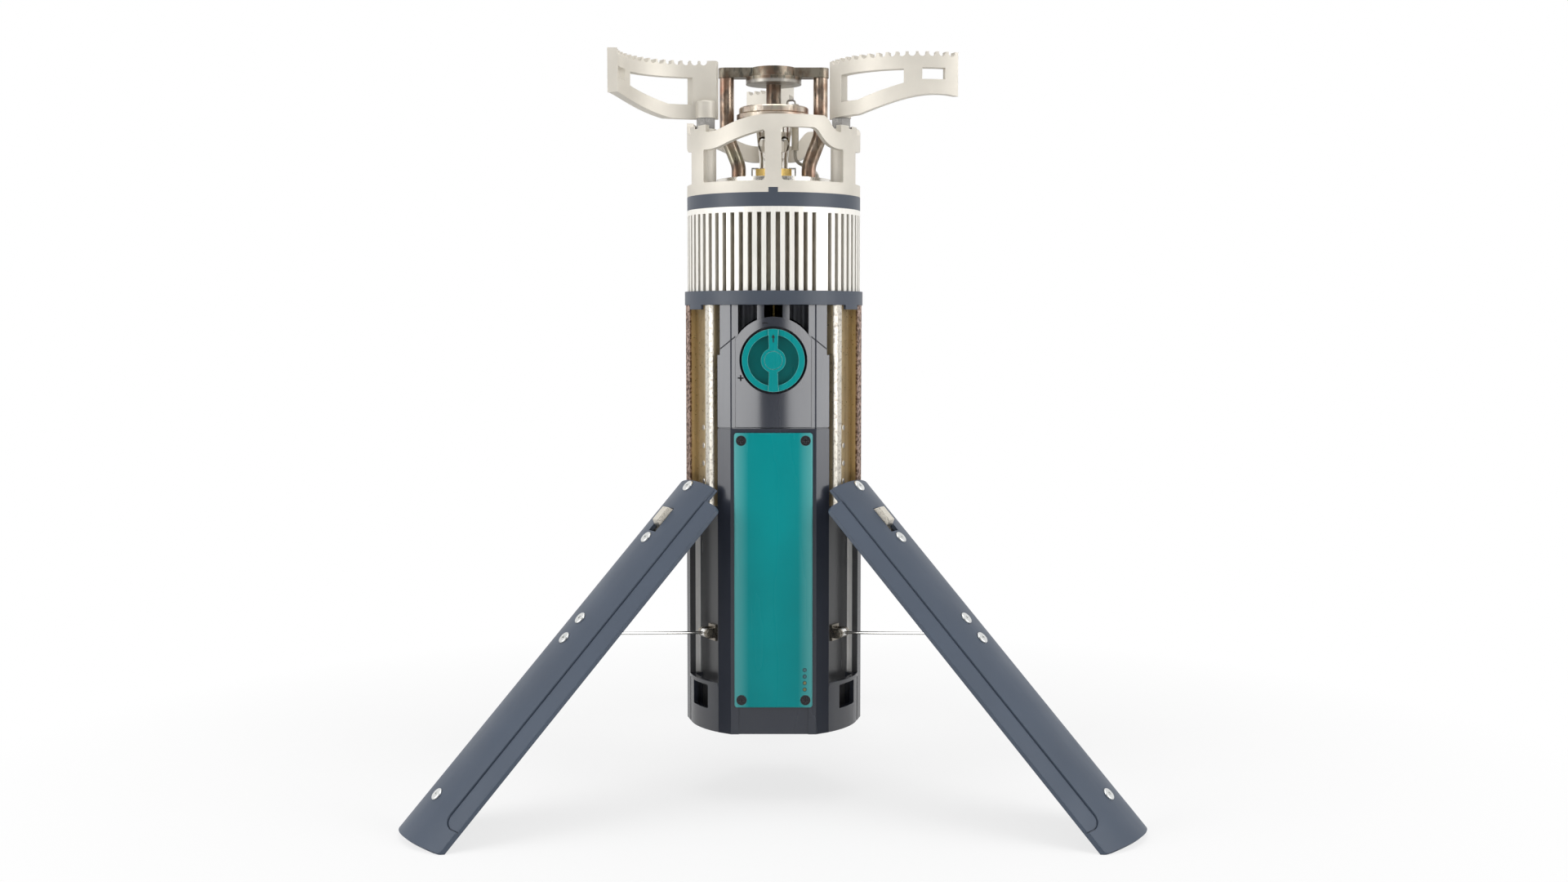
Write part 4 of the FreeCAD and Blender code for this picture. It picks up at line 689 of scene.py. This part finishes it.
def printed_marks():
    """Plain marks for more and less gas beside the knob, and the arrow on the knob."""
    ink = flat_look("mark_ink", (0.006, 0.007, 0.010), 0.55)
    knob_out = -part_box("control_knob")[0][1]
    plates = [
        ("mark_plus", "stove_body", "housing_plastic", plus_outline(), PLUS_PLACE, BEZEL_OUT),
        ("mark_minus", "stove_body", "housing_plastic", minus_outline(), MINUS_PLACE, BEZEL_OUT),
        ("knob_arrow", "knob", "knob_plastic", arrow_outline(), ARROW_PLACE, knob_out),
    ]
    for name, body, slot, outline, place, out in plates:
        made_piece(name, body, ink, lambda shape: front_plate(shape, outline, place, out))


def rail_pips():
    """Bright rivet heads in two rows on each rail's web."""
    lifts = [i * math.pi / (2 * PIP_STEPS) for i in range(PIP_STEPS)]
    profile = [(PIP_RADIUS * math.cos(lift), PIP_RISE * math.sin(lift)) for lift in lifts]
    heights = [PIP_TOP - PIP_PITCH * i for i in range(PIP_COUNT)]

    def build(shape):
        for azimuth in LEG_AZIMUTHS.values():
            turn = Matrix.Rotation(math.radians(azimuth), 3, "Z")
            for across in (-PIP_ACROSS, PIP_ACROSS):
                for z in heights:
                    turned(
                        shape, lambda a, b, rise: turn @ Vector((across + a, -WEB_OUT - rise, z + b)),
                        profile, PIP_SIDES,
                    )
    steel = bright_steel("pip_steel", (0.92, 0.91, 0.88), 0.34)
    made_piece("rail_pips", "stove_body", steel, build)


def flame_ports():
    """A ring of small raised burner ports with dark mouths on top of the burner's cap."""
    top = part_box("burner_cap")[1][2]
    rim = [(PORT_RIM, PORT_RISE), (PORT_MOUTH, PORT_RISE)]
    profile = [(PORT_FOOT, 0.0)] + rim + [(PORT_THROAT, PORT_FLOOR)]

    def build(shape):
        for i in range(PORT_COUNT):
            turn = math.tau * i / PORT_COUNT
            x, y = PORT_RING * math.cos(turn), PORT_RING * math.sin(turn)
            turned(shape, lambda a, b, rise: Vector((x + a, y + b, top + rise)), profile, PORT_SIDES)
    gap_shade = flat_look("port_soot", (0.05, 0.042, 0.036), 0.5, metallic=0.8)
    made_piece("flame_ports", "stove_body", gap_shade, build)


def led_rims():
    """A dark ring on the panel round each charge light."""
    low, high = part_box("charge_leds")
    middle = (low[0] + high[0]) / 2
    pitch = (high[2] - low[2] - 2 * LED_RADIUS) / (LED_COUNT - 1)
    face = -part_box("front_panel")[0][1]
    top = [((1 - RIM_BEVEL) * RIM_OUTER, MARK_THICK), ((1 + RIM_BEVEL) * RIM_INNER, MARK_THICK)]
    profile = [(RIM_OUTER, 0.0)] + top + [(RIM_INNER, 0.0)]

    def build(shape):
        for i in range(LED_COUNT):
            z = low[2] + LED_RADIUS + i * pitch
            turned_ring(
                shape, lambda a, b, rise: Vector((middle + a, -face - rise, z + b)),
                profile, RIM_SIDES,
            )
    ink = flat_look("rim_ink", (0.01, 0.07, 0.075), 0.4)
    made_piece("led_rims", "stove_body", ink, build)


def vent_liners():
    """The ribbed inner walls that show through the vents, standing on the round of the bezel."""
    def build(shape):
        for side in (-1, 1):
            rows = []
            for i in range(LINER_STEPS + 1):
                across = VENT_INNER + (VENT_OUTER - VENT_INNER) * i / LINER_STEPS
                foot = KNOB_HEIGHT + math.sqrt(BEZEL_RADIUS**2 - across**2) + LINER_WALL
                rib = LINER_RIB * math.sin(math.tau * i / LINER_STEPS) ** 2
                corners = [(LINER_OUT, foot), (LINER_OUT + LINER_WALL + rib, foot)]
                corners += [(out, VENT_TOP) for out, _ in reversed(corners)]
                rows.append([shape.verts.new((side * across, -out, z)) for out, z in corners])
            loft(shape, rows)
    liner = flat_look("liner_plastic", (0.14, 0.145, 0.16), 0.45)
    made_piece("vent_liners", "stove_body", liner, build)


def fillet_outline(radius):
    """The hollow-sided wedge that rounds a square corner, reaching a little into both of its sides."""
    turns = [math.pi / 2 * i / FILLET_STEPS for i in range(FILLET_STEPS + 1)]
    arc = [(radius * (1 - math.sin(t)), radius * (1 - math.cos(t))) for t in turns]
    return [(-FILLET_BITE, -FILLET_BITE), (radius, -FILLET_BITE)] + arc + [(-FILLET_BITE, radius)]


def window_corners(reach):
    """Each corner of a cage window on either hand: hand, place across and up, ways in and up, radius."""
    corners = []
    for hand, bar_top in CAGE_BAR_TOPS.items():
        bar_side = (-reach, 1, BAR_FILLET, bar_top)
        post_side = (reach, -1, POST_FILLET, CAGE_POST_TOP)
        for across, inward, radius, top in (bar_side, post_side):
            corners.append((hand, across, CAGE_FOOT, inward, 1, radius))
            corners.append((hand, across, top, inward, -1, radius))
    return corners


def cage_fillets():
    """Rounds in the corners of the cage's windows."""
    bar_edge = math.degrees(math.asin(CAGE_BAR_HALF / CAGE_RADIUS))
    middle = (CAGE_WINDOW_EDGE + bar_edge) / 2
    reach = CAGE_RADIUS * math.sin(math.radians(CAGE_WINDOW_EDGE - bar_edge) / 2)
    rings = (CAGE_RADIUS - CAGE_WALL + FILLET_SINK, CAGE_RADIUS - FILLET_SINK)

    def build(shape):
        for azimuth in LOBE_AZIMUTHS:
            for hand, across, up, inward, upward, radius in window_corners(reach):
                turn = Matrix.Rotation(math.radians(azimuth + hand * middle), 3, "Z")
                outline = [(across + inward * a, up + upward * b) for a, b in fillet_outline(radius)]
                rows = []
                for ring in rings:
                    points = [(hand * a, -math.sqrt(ring**2 - a**2), z) for a, z in outline]
                    rows.append([shape.verts.new(turn @ Vector(point)) for point in points])
                loft(shape, rows)
    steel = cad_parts["burner_cage"].data.materials[0]
    made_piece("cage_fillets", "stove_body", steel, build)


def softbox(name, place, width, height, radiance):
    """An even rectangular light that faces the lit point."""
    lamp = bpy.data.lights.new(name, "AREA")
    lamp.shape = "RECTANGLE"
    lamp.size = width
    lamp.size_y = height
    lamp.energy = radiance * math.pi * width * height
    holder = bpy.data.objects.new(name, lamp)
    holder.location = place
    holder.rotation_euler = (Vector(LIT_POINT) - Vector(place)).to_track_quat("-Z", "Y").to_euler()
    scene.collection.objects.link(holder)


def studio_light():
    """A tall box at either side, one overhead and one behind the viewer."""
    (x, y, z), *form = SIDE_BOX
    for side in (-1, 1):
        softbox("side_box_%d" % side, (side * x, y, z), *form)
    softbox("top_box", *TOP_BOX)
    softbox("front_box", *FRONT_BOX)


def white_world():
    """White behind the object, dim towards the viewer's side in reflections, and a soft fill elsewhere."""
    world = bpy.data.worlds.new("studio")
    world.use_nodes = True
    scene.world = world
    nodes = Nodes(world.node_tree)
    path = nodes.node("ShaderNodeLightPath").outputs
    direction = nodes.node("ShaderNodeTexCoord").outputs["Generated"]
    depth = nodes.node("ShaderNodeSeparateXYZ", {0: direction}).outputs["Y"]
    gloss = nodes.spread(depth, GLOSS_NEAR, GLOSS_FAR, FRONT_GLOSS, 1.0)
    mirrored = nodes.math("MAXIMUM", path["Is Glossy Ray"], path["Is Transmission Ray"])
    fill = nodes.blend(mirrored, AMBIENT, gloss)
    background = world.node_tree.nodes["Background"].inputs
    nodes.feed(background["Color"], (1.0, 1.0, 1.0, 1.0))
    nodes.feed(background["Strength"], nodes.blend(path["Is Camera Ray"], fill, 1.0))


def pale_floor():
    """A white floor that keeps the shadow near the object and fades into the white background."""
    half = FLOOR_SIZE / 2
    corners = [(-half, -half, 0), (half, -half, 0), (half, half, 0), (-half, half, 0)]
    mesh = bpy.data.meshes.new("floor")
    mesh.from_pydata(corners, [], [(0, 1, 2, 3)])
    floor = bpy.data.objects.new("floor", mesh)
    scene.collection.objects.link(floor)
    look = Look("floor", Roughness=0.9, Specular_IOR_Level=0.1)
    look.set("Base Color", (FLOOR_ALBEDO, FLOOR_ALBEDO, FLOOR_ALBEDO, 1.0))
    glow = look.node("ShaderNodeEmission", {"Strength": 1.0})
    far = look.spread(look.vector_math("LENGTH", look.place), GLOW_START, GLOW_FULL, FLOOR_GLOW, 1.0)
    camera_ray = look.node("ShaderNodeLightPath").outputs["Is Camera Ray"]
    fade = look.node("ShaderNodeMixShader", {0: look.math("MULTIPLY", far, camera_ray)})
    look.feed(fade.inputs[1], look.shader.outputs[0])
    look.feed(fade.inputs[2], glow.outputs[0])
    look.feed(look.tree.nodes["Material Output"].inputs["Surface"], fade.outputs[0])
    mesh.materials.append(look.material)


def photo_camera():
    """The photograph's viewpoint."""
    data = bpy.data.cameras.new("camera")
    data.lens = CAMERA_LENS
    data.sensor_width = SENSOR_WIDTH
    camera = bpy.data.objects.new("camera", data)
    camera.location = CAMERA_PLACE
    camera.rotation_euler = (math.radians(CAMERA_PITCH), 0.0, 0.0)
    scene.collection.objects.link(camera)
    scene.camera = camera


scene.view_settings.view_transform = "Standard"
photo_camera()
studio_light()
white_world()
pale_floor()
dress_casing()
dress_burner()
dress_legs()
dress_insides()
printed_marks()
rail_pips()
flame_ports()
led_rims()
vent_liners()
cage_fillets()
